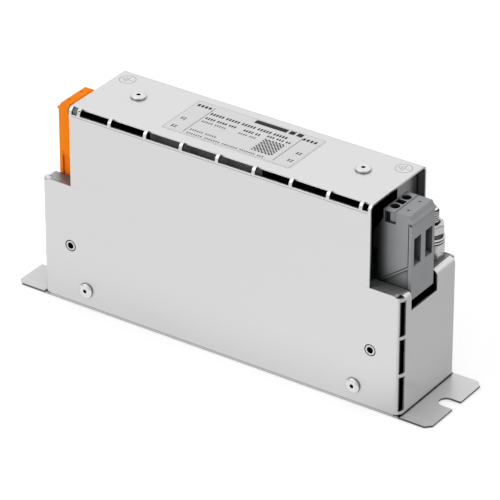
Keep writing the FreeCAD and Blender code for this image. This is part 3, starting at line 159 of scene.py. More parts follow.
# Screw shafts and key recess of the terminal blocks, painted with shade
WELLS = ((SCREW_SHAFT, 1.0), (KEY_RECESS, 1.0))
SIDE_WINDOW = {"deep": (-0.0126, -0.0120), "up": (0.0939, 0.0996)}
SCREW_BARREL = {**SIDE_WINDOW, "reach": (0.0864, 0.0903)}
# Gap beside the barrel, painted with shade
BARREL_GAP = {**SIDE_WINDOW, "reach": (0.0846, 0.0864)}

# How far close walls reach for the painted shade, in metres
CORNER_REACH = 0.03
WALL_REACH = 0.02
CONTACT_REACH = 0.0022
HARDWARE_REACH = 0.0012
INSIDE_REACH = 0.08


# Tones that the zones turn to, most of them painted shade and one a painted highlight

# Painted shade for faces inside the case
UNLIT_TONE = grey(0.03)
DARK_LINE_TONE = (0.13, 0.13, 0.135)
EDGE_HIGHLIGHT_TONE = grey(0.92)
CONTACT_SHADE_TONE = grey(0.12)
LEDGE_SHADE_TONE = grey(0.66)
SHADE_TONE = (0.11, 0.11, 0.112)
CROWN_SHADE_TONE = grey(0.52)
SEAM_SHADE_TONE = grey(0.02)
CREVICE_SHADE_TONE = grey(0.03)
SUNK_SHADE_TONE = grey(0.012)
BARREL_TONE = (0.36, 0.365, 0.37)
GAP_SHADE_TONE = grey(0.004)
COVER_SHADE_TONE = grey(0.010)
# Painted shade on the pieces sealed inside the case
INSIDE_SHADE = (INSIDE_REACH, grey(0.01))
SHEET_ROUGHNESS = 0.34
SHADE_DULLING = 0.75
TURNS_ROUND = 46


# Floor, room, lamps and camera

FLOOR_REACH = 6.0
FLOOR_LEVEL = -0.0002
FLOOR_TONE = grey(0.80)
FLOOR_LIFT = 0.32
FLOOR_NEAR, FLOOR_FAR = 1.02, 0.615
FLOOR_SLOPE = (0.944, 0.33, 0)
FLOOR_GRADE = (0.05, 0.11)
SKY_STOPS = ((0.0, 0.75), (0.06, 0.45), (0.16, 0.86), (0.5, 1.09), (1.0, 1.12))
DARK_SIDE = (0.487, -0.716, 0.50)
DARK_SPREAD = (0.80, 0.96)
DARK_LEVEL = 0.72
BRIGHT_SIDE = (-0.46, -0.55, 0.70)
BRIGHT_SPREAD = (0.90, 0.97)
BRIGHT_LEVEL = 1.1
SOFT_TONE = grey(0.80)
LAMP_TARGET = (0, 0, 0.05)
# Lamps: name, place, size, power
LAMPS = (("key", (-0.9, -1.6, 1.05), (1.2, 1.0), 13), ("overhead", (0.1, 0.3, 1.8), (1.4, 1.0), 4))
CAMERA_AZIMUTH, CAMERA_ELEVATION = 34.252, 30.034
CAMERA_TARGET = (18.41, -23.2, 61.85)
CAMERA_DISTANCE = 1.8119
CAMERA_LENS = 287.28
CAMERA_SENSOR = 36.0
CAMERA_CLIP = (0.05, 50.0)


# Node helpers

def new_material(name):
    """Material with its tree, its shader and the place of each point on the part."""
    material = bpy.data.materials.new(name)
    material.use_nodes = True
    tree = material.node_tree
    shader = tree.nodes["Principled BSDF"]
    return material, tree, shader, node(tree, "ShaderNodeTexCoord").outputs["Object"]


def node(tree, kind, **values):
    """Node with its settings, where a name that begins with in_ is an input."""
    item = tree.nodes.new(kind)
    for key, value in values.items():
        if key.startswith("in_"):
            item.inputs[key[3:].replace("_", " ")].default_value = value
        else:
            setattr(item, key, value)
    return item


def noise(tree, place, scale, detail, stretch=(1, 1, 1)):
    """Noise over the part, finer with a larger scale."""
    mapping = node(tree, "ShaderNodeMapping")
    mapping.inputs["Scale"].default_value = stretch
    tree.links.new(place, mapping.inputs["Vector"])
    texture = node(tree, "ShaderNodeTexNoise", in_Scale=scale, in_Detail=detail)
    tree.links.new(mapping.outputs["Vector"], texture.inputs["Vector"])
    return texture.outputs["Fac"]


def remap(tree, value, low, high, start=0.35, end=0.65, interpolation="LINEAR"):
    """The value turned from low to high between start and end."""
    item = node(tree, "ShaderNodeMapRange", interpolation_type=interpolation, in_From_Min=start,
                in_From_Max=end, in_To_Min=low, in_To_Max=high)
    tree.links.new(value, item.inputs["Value"])
    return item.outputs["Result"]


def tint(tree, factor, first, second):
    """Colour between two others."""
    ramp = node(tree, "ShaderNodeValToRGB")
    ramp.color_ramp.elements[0].color = first + (1,)
    ramp.color_ramp.elements[1].color = second + (1,)
    tree.links.new(factor, ramp.inputs["Fac"])
    return ramp.outputs["Color"]


def compute(tree, operation, first, second=0):
    """One sum on two values, each a number or the output of another node."""
    item = node(tree, "ShaderNodeMath", operation=operation)
    for socket, value in zip(item.inputs, (first, second)):
        if isinstance(value, (int, float)):
            socket.default_value = value
        else:
            tree.links.new(value, socket)
    return item.outputs[0]


def distance_of(tree, first, second):
    """Length of the hypotenuse over two distances."""
    squares = compute(tree, "ADD", compute(tree, "MULTIPLY", first, first),
                      compute(tree, "MULTIPLY", second, second))
    return compute(tree, "POWER", squares, 0.5)


def toward(tree, vector, direction):
    """How far a vector runs in a direction."""
    item = node(tree, "ShaderNodeVectorMath", operation="DOT_PRODUCT")
    item.inputs[1].default_value = direction
    tree.links.new(vector, item.inputs[0])
    return item.outputs["Value"]


def axes_of(tree, place):
    """Coordinates by name, with the distances from the middle."""
    split = node(tree, "ShaderNodeSeparateXYZ")
    tree.links.new(place, split.inputs["Vector"])
    across, deep, up = (split.outputs[key] for key in "XYZ")
    return {"across": across, "deep": deep, "up": up, "reach": compute(tree, "ABSOLUTE", across),
            "depth": compute(tree, "ABSOLUTE", deep)}


def within(tree, value, low, high):
    """One where a value lies between two numbers, else nought."""
    above = compute(tree, "GREATER_THAN", value, low)
    below = compute(tree, "LESS_THAN", value, high)
    return compute(tree, "MULTIPLY", above, below)


def zone(tree, axes, ranges):
    """One where every named coordinate lies within its range, else nought."""
    mask = 1.0
    for key, (low, high) in ranges.items():
        mask = compute(tree, "MULTIPLY", mask, within(tree, axes[key], low, high))
    return mask


def strongest(tree, axes, marks):
    """The largest of several zones, each of its own strength."""
    mask = 0.0
    for ranges, strength in marks:
        weighted = compute(tree, "MULTIPLY", zone(tree, axes, ranges), strength)
        mask = compute(tree, "MAXIMUM", mask, weighted)
    return mask


def screw_wells(tree, axes, middle):
    """One in the screw shafts of a terminal block and in the key recess between them."""
    aside = compute(tree, "ABSOLUTE", compute(tree, "SUBTRACT", axes["deep"], BLOCK_MIDDLE))
    pole = compute(tree, "SUBTRACT", aside, HALF_PITCH)
    along = compute(tree, "SUBTRACT", axes["across"], middle)
    places = {"up": axes["up"], "pole": pole, "along": compute(tree, "ABSOLUTE", along),
              "radius": distance_of(tree, pole, along)}
    return strongest(tree, places, WELLS)


def blend_colour(tree, factor, first, second, blend="MIX"):
    """Blend of two colours; each value is a colour, a number or the output of another node."""
    item = node(tree, "ShaderNodeMix", data_type="RGBA", blend_type=blend)
    for key, value in (("Factor", factor), ("A", first), ("B", second)):
        if isinstance(value, tuple):
            item.inputs[key].default_value = value + (1,)
        elif isinstance(value, (int, float)):
            item.inputs[key].default_value = value
        else:
            tree.links.new(value, item.inputs[key])
    return item.outputs["Result"]


def blend_shader(tree, factor, first, second):
    """Blend of two shaders."""
    item = node(tree, "ShaderNodeMixShader")
    for socket, value in zip(item.inputs, (factor, first, second)):
        tree.links.new(value, socket)
    return item.outputs[0]


def openness(tree, distance):
    """How free a surface is of close walls, from nought to one."""
    item = node(tree, "ShaderNodeAmbientOcclusion", samples=8)
    item.inputs["Distance"].default_value = distance
    return item.outputs["AO"]


def crevices(tree, colour, distance, floor, start=0.3, end=0.95):
    """The colour with painted shade, turning to the floor colour where close walls shut the light out."""
    return blend_colour(tree, remap(tree, openness(tree, distance), 0, 1, start, end), floor, colour)


def bump(tree, shader, height, strength, distance, edge=0.0):
    """Fine relief on the surface, with rounded edges."""
    item = node(tree, "ShaderNodeBump", in_Strength=strength, in_Distance=distance)
    tree.links.new(height, item.inputs["Height"])
    if edge:
        rounding = node(tree, "ShaderNodeBevel", samples=8)
        rounding.inputs["Radius"].default_value = edge
        tree.links.new(rounding.outputs["Normal"], item.inputs["Normal"])
    tree.links.new(item.outputs["Normal"], shader.inputs["Normal"])


# Materials

def sheet_material(name, low, high, shade):
    """Folded sheet: even fine grain, darker cut edges and lines, painted shade in corners, at contacts, on
    the ledges and on faces inside the case, and a painted highlight on a thin edge of the end panels.
    """
    material, tree, shader, place = new_material(name)
    axes = axes_of(tree, place)
    grain = noise(tree, place, 2600, 2)
    rolling = noise(tree, place, 900, 2, (0.04, 1, 1))
    sheet = tint(tree, remap(tree, grain, 0, 1), low, high)
    # Painted shade in the corners and, at short reach, at contacts round rivets, nuts and feet
    sheet = crevices(tree, sheet, CORNER_REACH, shade)
    sheet = crevices(tree, sheet, CONTACT_REACH, CONTACT_SHADE_TONE, 0.4, 0.8)
    # Painted highlight on a thin edge of the end panels
    sheet = blend_colour(tree, zone(tree, axes, PANEL_EDGE_HIGHLIGHT), sheet, EDGE_HIGHLIGHT_TONE)
    # Painted shade on the faces inside the case
    sheet = blend_colour(tree, strongest(tree, axes, UNLIT), sheet, UNLIT_TONE)
    # Painted shade: the ledges darker, and beside the terminal blocks darker still and less metallic
    ledges = zone(tree, axes, LEDGES)
    sheet = blend_colour(tree, ledges, sheet, LEDGE_SHADE_TONE)
    beside = remap(tree, openness(tree, WALL_REACH), 1, 0, 0.68, 0.97)
    shaded = compute(tree, "MULTIPLY", ledges, beside)
    sheet = blend_colour(tree, shaded, sheet, SHADE_TONE)
    # Darker cut edges and lines, one of them painted shade along the front's foot
    sheet = blend_colour(tree, strongest(tree, axes, DARK_LINES), sheet, DARK_LINE_TONE)
    tree.links.new(sheet, shader.inputs["Base Color"])
    gloss = remap(tree, rolling, SHEET_ROUGHNESS - 0.02, SHEET_ROUGHNESS + 0.02)
    tree.links.new(gloss, shader.inputs["Roughness"])
    # Less metallic where shade is painted beside the terminal blocks
    metallic = compute(tree, "SUBTRACT", 1.0, compute(tree, "MULTIPLY", shaded, SHADE_DULLING))
    tree.links.new(metallic, shader.inputs["Metallic"])
    bump(tree, shader, grain, 0.03, 0.00003, 0.0002)
    return material


def finish_metal(tree, shader, colour, marks, roughness, edge):
    """Bright metal of a colour, its gloss and surface varied by handling marks."""
    tree.links.new(colour, shader.inputs["Base Color"])
    tree.links.new(remap(tree, marks, roughness * 0.7, roughness * 1.4), shader.inputs["Roughness"])
    shader.inputs["Metallic"].default_value = 1.0
    bump(tree, shader, marks, 0.06, 0.00004, edge)


def metal_material(name, low, high, roughness, edge=0.00015, seam_shade=None, inner=False):
    """Small bright metal piece with faint handling marks, painted shade in its crevices and, on rivet tails,
    painted shade inside the case.
    """
    material, tree, shader, place = new_material(name)
    marks = noise(tree, place, 500, 5)
    colour = tint(tree, remap(tree, marks, 0, 1), low, high)
    # Painted shade in the crevices
    if seam_shade:
        colour = crevices(tree, colour, *seam_shade)
    if inner:
        # Painted shade on the rivet tails inside the case
        colour = blend_colour(tree, zone(tree, axes_of(tree, place), RIVET_TAILS), colour, UNLIT_TONE)
    finish_metal(tree, shader, colour, marks, roughness, edge)
    return material


def hardware_material(name, low, high, roughness, seam_shade):
    """Plated earth hardware with painted shade: a darker nut crown, dark thread roots, dark lines where its
    pieces meet and dark crevices.
    """
    material, tree, shader, place = new_material(name)
    marks = noise(tree, place, 500, 5)
    axes = axes_of(tree, place)
    axes["radius"] = distance_of(tree, compute(tree, "SUBTRACT", axes["reach"], EARTH_X * MM),
                                 compute(tree, "SUBTRACT", axes["deep"], EARTH_Y * MM))
    colour = tint(tree, remap(tree, marks, 0, 1), low, high)
    # Painted shade on the nut's crown, in the thread roots, in the seams and in the crevices
    colour = blend_colour(tree, zone(tree, axes, NUT_CROWN), colour, CROWN_SHADE_TONE)
    colour = blend_colour(tree, strongest(tree, axes, THREAD_SHADE + seam_shade), colour, SEAM_SHADE_TONE)
    colour = crevices(tree, colour, HARDWARE_REACH, CREVICE_SHADE_TONE)
    finish_metal(tree, shader, colour, marks, roughness, 0.00015)
    return material


def insert_material(name):
    """Tapped insert: bright where it stands flush in the panel, with painted shade in its bore and behind it.
    """
    material, tree, shader, place = new_material(name)
    marks = noise(tree, place, 700, 4)
    bright = tint(tree, remap(tree, marks, 0, 1), grey(0.62), grey(0.72))
    # Painted shade in the bore and behind the panel
    sunk = compute(tree, "GREATER_THAN", axes_of(tree, place)["deep"], INSERT_FACE)
    tree.links.new(blend_colour(tree, sunk, bright, SUNK_SHADE_TONE), shader.inputs["Base Color"])
    shader.inputs["Metallic"].default_value = 1.0
    tree.links.new(remap(tree, marks, 0.25, 0.4), shader.inputs["Roughness"])
    bump(tree, shader, marks, 0.05, 0.00003, 0.0001)
    return material


def plastic_material(name, low, high, roughness, grain=1800, strength=0.12, edge=0.0002, gloss=0.4,
                     seam_shade=None, shade=None, well_shade=None, tones=(), cover_shade=None):
    """Moulded plastic with a fine sparked grain, with painted shade in its crevices, its screw wells, near
    close walls and where the case covers it.
    """
    material, tree, shader, place = new_material(name)
    axes = axes_of(tree, place)
    fine = noise(tree, place, grain, 2)
    cloud = noise(tree, place, 90, 3)
    colour = tint(tree, remap(tree, cloud, 0, 1), low, high)
    # Painted shade in the crevices
    if seam_shade:
        colour = crevices(tree, colour, *seam_shade)
    # Painted shade near close walls
    if shade:
        colour = crevices(tree, colour, *shade, 0.25, 0.85)
    # Painted shade in the screw shafts and the key recess
    if well_shade:
        middle, tone = well_shade
        colour = blend_colour(tree, screw_wells(tree, axes, middle), colour, tone)
    for ranges, tone in tones:
        colour = blend_colour(tree, zone(tree, axes, ranges), colour, tone)
    # Painted shade where the case covers the block
    if cover_shade:
        factor = remap(tree, axes["reach"], 1.0, 0.0, *cover_shade, "SMOOTHSTEP")
        colour = blend_colour(tree, factor, colour, COVER_SHADE_TONE)
    tree.links.new(colour, shader.inputs["Base Color"])
    tree.links.new(remap(tree, fine, roughness - 0.05, roughness + 0.06), shader.inputs["Roughness"])
    shader.inputs["Specular IOR Level"].default_value = gloss
    bump(tree, shader, fine, strength, 0.00006, edge)
    return material


def winding_material(name):
    """Enamelled turns lying side by side round the ring, with painted shade in the grooves between them and
    inside the case.
    """
    material, tree, shader, place = new_material(name)
    axes = axes_of(tree, place)
    angle = compute(tree, "ARCTAN2", axes["deep"], axes["across"])
    wave = compute(tree, "SINE", compute(tree, "MULTIPLY", angle, TURNS_ROUND))
    height = remap(tree, wave, 0, 1, -1, 1)
    # Turns painted darker in the grooves between them, a painted shade
    wire = tint(tree, height, (0.10, 0.03, 0.012), (0.50, 0.17, 0.06))
    # Painted shade inside the case
    wire = crevices(tree, wire, INSIDE_REACH, (0.004, 0.003, 0.003), 0.75, 1.0)
    tree.links.new(wire, shader.inputs["Base Color"])
    shader.inputs["Metallic"].default_value = 0.7
    shader.inputs["Roughness"].default_value = 0.3
    bump(tree, shader, height, 0.8, 0.0004)
    return material


def board_material(name):
    """Laminate under solder resist with a faint pattern of tracks, and painted shade near its ends inside the
    case.
    """
    material, tree, shader, place = new_material(name)
    tracks = node(tree, "ShaderNodeTexBrick", in_Scale=55.0, in_Mortar_Size=0.03)
    tree.links.new(place, tracks.inputs["Vector"])
    resist = tint(tree, tracks.outputs["Fac"], (0.02, 0.10, 0.035), (0.035, 0.17, 0.06))
    # Painted shade near the ends, where the board lies deep in the case
    ends = zone(tree, axes_of(tree, place), BOARD_END_SHADE)
    resist = blend_colour(tree, ends, resist, (0.012, 0.016, 0.013))
    tree.links.new(resist, shader.inputs["Base Color"])
    shader.inputs["Roughness"].default_value = 0.35
    bump(tree, shader, tracks.outputs["Fac"], 0.2, 0.00004)
    return material


def plain_material(name, colour, roughness, relief):
    """Film, ink, engraving or paper: one colour with a faint grain."""
    material, tree, shader, place = new_material(name)
    fine = noise(tree, place, 1500, 3)
    darker = tuple(0.92 * value for value in colour)
    tree.links.new(tint(tree, remap(tree, fine, 0, 1), darker, colour), shader.inputs["Base Color"])
    shader.inputs["Roughness"].default_value = roughness
    shader.inputs["Specular IOR Level"].default_value = 0.1
    bump(tree, shader, fine, relief, 0.00003)
    return material


# Finishes of the nodes

case_sheet = sheet_material("case_sheet", grey(0.705), grey(0.725), grey(0.58))
base_sheet = sheet_material("base_sheet", grey(0.63), grey(0.65), (0.49, 0.49, 0.495))
# The end brackets' sheet, a darker copy of the case sheet as painted shade for where it stands inside the
# case
shaded_inner_sheet = sheet_material("shaded_inner_sheet", (0.34, 0.34, 0.345), (0.36, 0.36, 0.365), (0.24, 0.24, 0.245))
plated = hardware_material("plated_steel", grey(0.76), grey(0.84), 0.16, NUT_SEAM_SHADE)
washer_steel = hardware_material("washer_steel", grey(0.88), grey(0.95), 0.13, WASHER_SEAM_SHADE)
spring_steel = hardware_material("spring_steel", grey(0.10), grey(0.20), 0.2, NUT_SEAM_SHADE)
insert_steel = insert_material("insert_steel")
rivet_alloy = metal_material("rivet_alloy", grey(0.71), grey(0.75), 0.10, edge=0.0003,
                             seam_shade=(CONTACT_REACH, grey(0.015)), inner=True)
cage_steel = metal_material("cage_steel", (0.34, 0.34, 0.33), (0.42, 0.42, 0.41), 0.30)
contact_tin = metal_material("contact_tin", (0.62, 0.58, 0.48), (0.70, 0.66, 0.55), 0.28)
grey_plastic = plastic_material("grey_plastic", (0.255, 0.262, 0.268), (0.272, 0.279, 0.286), 0.48,
                                edge=0.0003, seam_shade=(0.006, (0.012, 0.012, 0.013)),
                                shade=(0.03, (0.05, 0.052, 0.054)), well_shade=(LOAD_SHAFTS, SUNK_SHADE_TONE),
                                tones=((SCREW_BARREL, BARREL_TONE), (BARREL_GAP, GAP_SHADE_TONE)),
                                cover_shade=(0.0810, 0.0875))
orange_plastic = plastic_material("orange_plastic", (0.91, 0.225, 0.008), (0.95, 0.240, 0.010), 0.6,
                                  edge=0.0003, gloss=0.02, seam_shade=(0.004, (1.0, 0.16, 0.008)),
                                  well_shade=(LINE_SHAFTS, (0.62, 0.012, 0.010)), cover_shade=(0.0830, 0.0843))
seat_plastic = plastic_material("seat_plastic", (0.50, 0.47, 0.40), (0.56, 0.53, 0.46), 0.5,
                                shade=INSIDE_SHADE)
box_yellow = plastic_material("box_yellow", (0.52, 0.37, 0.05), (0.60, 0.43, 0.07), 0.3, 900, 0.05,
                              shade=INSIDE_SHADE)
disc_blue = plastic_material("disc_blue", (0.02, 0.09, 0.30), (0.03, 0.12, 0.36), 0.25, 500, 0.2,
                             shade=INSIDE_SHADE)
ceramic = plastic_material("ceramic", (0.66, 0.65, 0.61), (0.72, 0.71, 0.68), 0.6, shade=INSIDE_SHADE)
ferrite = plastic_material("ferrite", (0.022, 0.024, 0.026), (0.035, 0.037, 0.04), 0.55, 700, 0.3)
copper_turns = winding_material("copper_turns")
laminate = board_material("laminate")
label_film = plain_material("label_film", (0.68, 0.68, 0.685), 0.42, 0.05)
label_ink = plain_material("label_ink", (0.022, 0.022, 0.024), 0.5, 0.05)
pale_ink = plain_material("pale_ink", (0.12, 0.12, 0.123), 0.5, 0.05)
outline_ink = plain_material("outline_ink", (0.36, 0.36, 0.365), 0.5, 0.05)
engraving = plain_material("engraving", (0.22, 0.22, 0.225), 0.6, 0.1)
card_paper = plain_material("card_paper", (0.16, 0.16, 0.165), 0.7, 0.1)

FINISHES = {
    "cover": case_sheet, "base_plate": base_sheet,
    "load_end_bracket": shaded_inner_sheet, "line_end_bracket": shaded_inner_sheet,
    "front_rivets": rivet_alloy, "back_rivets": rivet_alloy, "top_rivets": rivet_alloy,
    "threaded_standoffs": insert_steel, "earth_studs": plated, "earth_collar_nuts": plated,
    "earth_washers": washer_steel, "earth_lock_washers": spring_steel, "earth_nuts": plated,
    "load_terminal_housing": grey_plastic, "line_terminal_housing": orange_plastic,
    "load_clamp_cages": cage_steel, "line_clamp_cages": cage_steel,
    "load_clamp_screws": cage_steel, "line_clamp_screws": cage_steel,
    "load_contacts": contact_tin, "line_contacts": contact_tin,
    "circuit_board": laminate, "board_pillars": cage_steel, "board_screws": plated,
    "upper_choke_core": ferrite, "lower_choke_core": ferrite,
    "upper_choke_seat": seat_plastic, "lower_choke_seat": seat_plastic,
    "upper_choke_divider": seat_plastic, "lower_choke_divider": seat_plastic,
    "upper_front_winding": copper_turns, "upper_back_winding": copper_turns,
    "lower_left_winding": copper_turns, "lower_right_winding": copper_turns,
    "x_capacitors": box_yellow, "y_capacitors": disc_blue, "bleed_resistor": ceramic,
}
for name, finish in FINISHES.items():
    for slot in NODES[name].material_slots:
        slot.material = finish


# Mesh helpers; each form is a pair of vertices in millimetres and faces

def add_piece(name, forms, material, smooth_angle=None):
    """Object from several forms, riding on the case."""
    vertices, faces = [], []
    for form_vertices, form_faces in forms:
        offset = len(vertices)
        vertices += [Vector(place) * MM for place in form_vertices]
        faces += [tuple(index + offset for index in face) for face in form_faces]
    mesh = bpy.data.meshes.new(name)
    mesh.from_pydata(vertices, [], faces)
    mesh.update()
    mesh.materials.append(material)
    piece = bpy.data.objects.new(name, mesh)
    bpy.context.scene.collection.objects.link(piece)
    if smooth_angle is not None:
        mesh.shade_smooth()
        mesh.set_sharp_from_angle(angle=math.radians(smooth_angle))
    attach(piece, "root")
    return piece


def on_circle(centre, radius, turn, height):
    """Point at a share of a full turn round an upright axis."""
    angle = 2 * math.pi * turn
    return centre[0] + radius * math.cos(angle), centre[1] + radius * math.sin(angle), height


def skin(rows, segments):
    """Faces that join rows of points into a tube closed at both ends."""
    faces = []
    for row in range(rows - 1):
        low, high = row * segments, (row + 1) * segments
        for step in range(segments):
            following = (step + 1) % segments
            faces.append((low + step, low + following, high + following, high + step))
    last = (rows - 1) * segments
    faces.append(tuple(reversed(range(segments))))
    faces.append(tuple(range(last, last + segments)))
    return faces


def revolve(rings, centre, segments=48):
    """Turned form from (radius, height) rings."""
    vertices = [on_circle(centre, radius, step / segments, height)
                for radius, height in rings for step in range(segments)]
    return vertices, skin(len(rings), segments)


def thread(centre, foot, head, radius, pitch, depth, segments=40, steps=8):
    """Helical thread on an upright shank, running out at both ends."""
    vertices = []
    count = int((head - foot) / pitch * steps)
    for row in range(count + 1):
        height = foot + (head - foot) * row / count
        runout = min(1, (height - foot) / pitch, (head - height) / (THREAD_RUNOUT * pitch))
        for step in range(segments):
            turn = step / segments
            phase = ((height - foot) / pitch - turn) % 1.0
            crest = min(1, CREST_SLOPE * abs(2 * phase - 1))
            here = radius - depth * (1 - crest * max(0, runout))
            vertices.append(on_circle(centre, here, turn, height))
    return vertices, skin(count + 1, segments)


def prism(outline, low, high):
    """Upright prism on an outline that runs anticlockwise."""
    vertices = [(x, y, z) for z in (low, high) for x, y in outline]
    return vertices, skin(2, len(outline))


def slab(left, right, near, far, low, high):
    """Rectangular plate."""
    return prism(((left, near), (right, near), (right, far), (left, far)), low, high)


def ring(centre, inner, outer, low, high, segments=48):
    """Flat ring of square section."""
    section = ((inner, low), (outer, low), (outer, high), (inner, high))
    vertices = [on_circle(centre, radius, step / segments, height)
                for step in range(segments) for radius, height in section]
    faces = []
    for step in range(segments):
        here, following = 4 * step, 4 * ((step + 1) % segments)
        for side in range(4):
            other = (side + 1) % 4
            faces.append((here + side, following + side, following + other, here + other))
    return vertices, faces


def folded_strip(right, left, profile):
    """Open strip that follows a profile of (depth, height) points."""
    vertices = [(x, y, z) for y, z in profile for x in (right, left)]
    faces = [(2 * k, 2 * k + 1, 2 * k + 3, 2 * k + 2) for k in range(len(profile) - 1)]
    return vertices, faces


# Threaded earth studs

studs = []
for end in ENDS:
    spot = (end * EARTH_X, EARTH_Y)
    studs.append(revolve(STUD_HEAD + ((STUD_RADIUS, THREAD_FOOT),), spot))
    studs.append(thread(spot, THREAD_FOOT, THREAD_HEAD, STUD_RADIUS, THREAD_PITCH, THREAD_DEPTH))
    studs.append(revolve(STUD_TIP, spot))
stud_piece = add_piece("earth_stud_threads", studs, plated, STUD_SMOOTH_ANGLE)
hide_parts("earth_studs")


# Rating plate on the top: bare fields, rules and simple shapes

def plate_outline(corner):
    """Rectangle of the plate with its corners cut off."""
    left, right, near, far = LABEL_LEFT, LABEL_RIGHT, LABEL_NEAR, LABEL_FAR
    return ((left + corner, near), (right - corner, near), (right, near + corner), (right, far - corner),
            (right - corner, far), (left + corner, far), (left, far - corner), (left, near + corner))


def printed(name, bars, material):
    """Thin printed rectangles on the film."""
    forms = [slab(x, x + length, y, y + height, FILM_TOP, INK_TOP) for x, y, length, height in bars]
    add_piece(name, forms, material)


def rules(inset):
    """The four bars of the printed frame."""
    left, near = LABEL_LEFT + inset, LABEL_NEAR + inset
    length = LABEL_RIGHT - LABEL_LEFT - 2 * inset
    height = LABEL_FAR - LABEL_NEAR - 2 * inset
    return [(left, near, length, RULE_HEIGHT), (left, near + height, length, RULE_HEIGHT),
            (left, near, RULE_WIDTH, height), (left + length - RULE_WIDTH, near, RULE_WIDTH, height)]


def tick_row(start, end, middle, height, group, tick, gap):
    """Equal ticks in groups, from start to end."""
    bars = []
    x = start
    while x + tick <= end:
        bars.append((x, middle - height / 2, tick, height))
        x += tick + (GROUP_GAP * gap if len(bars) % group == 0 else gap)
    return bars


add_piece("rating_plate", [prism(plate_outline(LABEL_CORNER), TOP, FILM_TOP)], label_film)
printed("plate_outline", rules(LABEL_INSET), outline_ink)

dark_bars = list(DARK_BARS)
for row in DARK_ROWS:
    dark_bars += tick_row(*row)
for x, y in MARK_CORNERS:
    dark_bars += [(x + along, y + above, length, height) for along, above, length, height in MARK_BARS]
dark_bars += [(CHECK_LEFT + CHECK_CELL * column, CHECK_NEAR + CHECK_CELL * row, CHECK_CELL, CHECK_CELL)
              for row in range(CHECK_ROWS) for column in range(CHECK_COLUMNS) if (row + column) % 2 == 0]
printed("plate_marks", dark_bars, label_ink)

pale_bars = [bar for row in PALE_ROWS for bar in tick_row(*row)]
printed("plate_small_marks", pale_bars, pale_ink)


# Engraved earth signs beside the studs

signs = []
for end in ENDS:
    x = end * SIGN_X
    signs.append(ring((x, SIGN_Y), SIGN_INNER, SIGN_OUTER, TOP, SIGN_TOP))
    for along, half in SIGN_BARS:
        signs.append(slab(x + along - SIGN_BAR_HALF, x + along + SIGN_BAR_HALF, SIGN_Y - half, SIGN_Y + half,
                          TOP, SIGN_TOP))
    stem_left, stem_right = SIGN_STEM
    signs.append(slab(x + stem_left, x + stem_right, SIGN_Y - SIGN_STEM_HALF, SIGN_Y + SIGN_STEM_HALF,
                      TOP, SIGN_TOP))
add_piece("earth_signs", signs, engraving)


# Insulating card against the inside of the roof, its flaps turned down behind the front

card_piece = add_piece("insulating_card", [folded_strip(*strip) for strip in CARD_STRIPS], card_paper)
thickness = card_piece.modifiers.new("thickness", "SOLIDIFY")
thickness.thickness = CARD_GAUGE * MM
thickness.offset = -1


# Tongue under the corner relief at the line end

add_piece("corner_tongue", [prism(TONGUE_OUTLINE, TONGUE_LOW, TONGUE_HIGH)], case_sheet)


# Camera, floor, room and lamps

def set_camera():
    """Camera at the photograph's angle."""
    azimuth, elevation = math.radians(CAMERA_AZIMUTH), math.radians(CAMERA_ELEVATION)
    back = Vector((math.sin(azimuth) * math.cos(elevation), -math.cos(azimuth) * math.cos(elevation),
                   math.sin(elevation)))
    data = bpy.data.cameras.new("camera")
    data.lens = CAMERA_LENS
    data.sensor_width = CAMERA_SENSOR
    data.clip_start, data.clip_end = CAMERA_CLIP
    camera = bpy.data.objects.new("camera", data)
    bpy.context.scene.collection.objects.link(camera)
    camera.location = Vector(CAMERA_TARGET) * MM + back * CAMERA_DISTANCE
    camera.rotation_euler = back.to_track_quat("Z", "Y").to_euler()
    bpy.context.scene.camera = camera


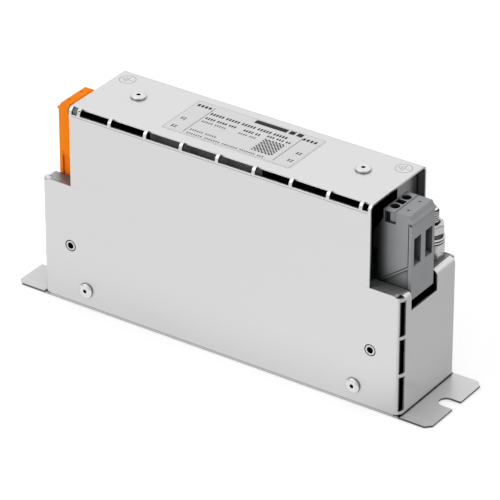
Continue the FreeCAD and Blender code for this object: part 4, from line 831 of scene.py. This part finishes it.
def set_floor():
    """Pale floor: white to the camera apart from the shadow, graded where metal reflects it."""
    mesh = bpy.data.meshes.new("floor")
    corners = ((-1, -1), (1, -1), (1, 1), (-1, 1))
    mesh.from_pydata([(x * FLOOR_REACH, y * FLOOR_REACH, 0) for x, y in corners], [], [(0, 1, 2, 3)])
    floor = bpy.data.objects.new("floor", mesh)
    floor.location.z = FLOOR_LEVEL
    bpy.context.scene.collection.objects.link(floor)
    material, tree, shader, place = new_material("floor")
    shader.inputs["Base Color"].default_value = FLOOR_TONE + (1,)
    shader.inputs["Roughness"].default_value = 1.0
    shader.inputs["Specular IOR Level"].default_value = 0.0
    path = node(tree, "ShaderNodeLightPath")

    lift = node(tree, "ShaderNodeEmission", in_Color=WHITE + (1,), in_Strength=FLOOR_LIFT)
    lifted = node(tree, "ShaderNodeAddShader")
    tree.links.new(shader.outputs[0], lifted.inputs[0])
    tree.links.new(lift.outputs[0], lifted.inputs[1])

    mirror = node(tree, "ShaderNodeEmission")
    grade = remap(tree, toward(tree, place, FLOOR_SLOPE), FLOOR_NEAR, FLOOR_FAR, *FLOOR_GRADE, "SMOOTHSTEP")
    tree.links.new(grade, mirror.inputs["Strength"])

    reflected = blend_shader(tree, path.outputs["Is Glossy Ray"], shader.outputs[0], mirror.outputs[0])
    seen = blend_shader(tree, path.outputs["Is Camera Ray"], reflected, lifted.outputs[0])
    tree.links.new(seen, tree.nodes["Material Output"].inputs["Surface"])
    mesh.materials.append(material)


def set_world():
    """White to the camera; where metal reflects it, a bright room with a darker and a brighter side."""
    world = bpy.data.worlds.new("studio")
    bpy.context.scene.world = world
    world.use_nodes = True
    tree = world.node_tree
    path = node(tree, "ShaderNodeLightPath")
    direction = node(tree, "ShaderNodeTexCoord").outputs["Generated"]
    sky = node(tree, "ShaderNodeValToRGB")
    while len(sky.color_ramp.elements) < len(SKY_STOPS):
        sky.color_ramp.elements.new(0.5)
    for element, (position, level) in zip(sky.color_ramp.elements, SKY_STOPS):
        element.position = position
        element.color = grey(level) + (1,)
    tree.links.new(axes_of(tree, direction)["up"], sky.inputs["Fac"])

    shade = remap(tree, toward(tree, direction, DARK_SIDE), 1.0, DARK_LEVEL, *DARK_SPREAD, "SMOOTHSTEP")
    gleam = remap(tree, toward(tree, direction, BRIGHT_SIDE), 0.0, BRIGHT_LEVEL, *BRIGHT_SPREAD, "SMOOTHSTEP")
    room = blend_colour(tree, 1.0, sky.outputs["Color"], shade, "MULTIPLY")
    room = blend_colour(tree, 1.0, room, gleam, "ADD")
    glossy = blend_colour(tree, path.outputs["Is Glossy Ray"], SOFT_TONE, room)
    seen = blend_colour(tree, path.outputs["Is Camera Ray"], glossy, WHITE)
    background = tree.nodes["Background"]
    tree.links.new(seen, background.inputs["Color"])
    background.inputs["Strength"].default_value = 1.0


def set_lamp(name, place, size, power):
    """Soft lamp turned to the part, left out of reflections."""
    data = bpy.data.lights.new(name, "AREA")
    data.shape = "RECTANGLE"
    data.size, data.size_y = size
    data.energy = power
    lamp = bpy.data.objects.new(name, data)
    lamp.location = place
    lamp.visible_glossy = False
    lamp.rotation_euler = (Vector(place) - Vector(LAMP_TARGET)).to_track_quat("Z", "Y").to_euler()
    bpy.context.scene.collection.objects.link(lamp)


set_camera()
set_floor()
set_world()
for lamp in LAMPS:
    set_lamp(*lamp)

bpy.context.scene.view_settings.view_transform = "Standard"
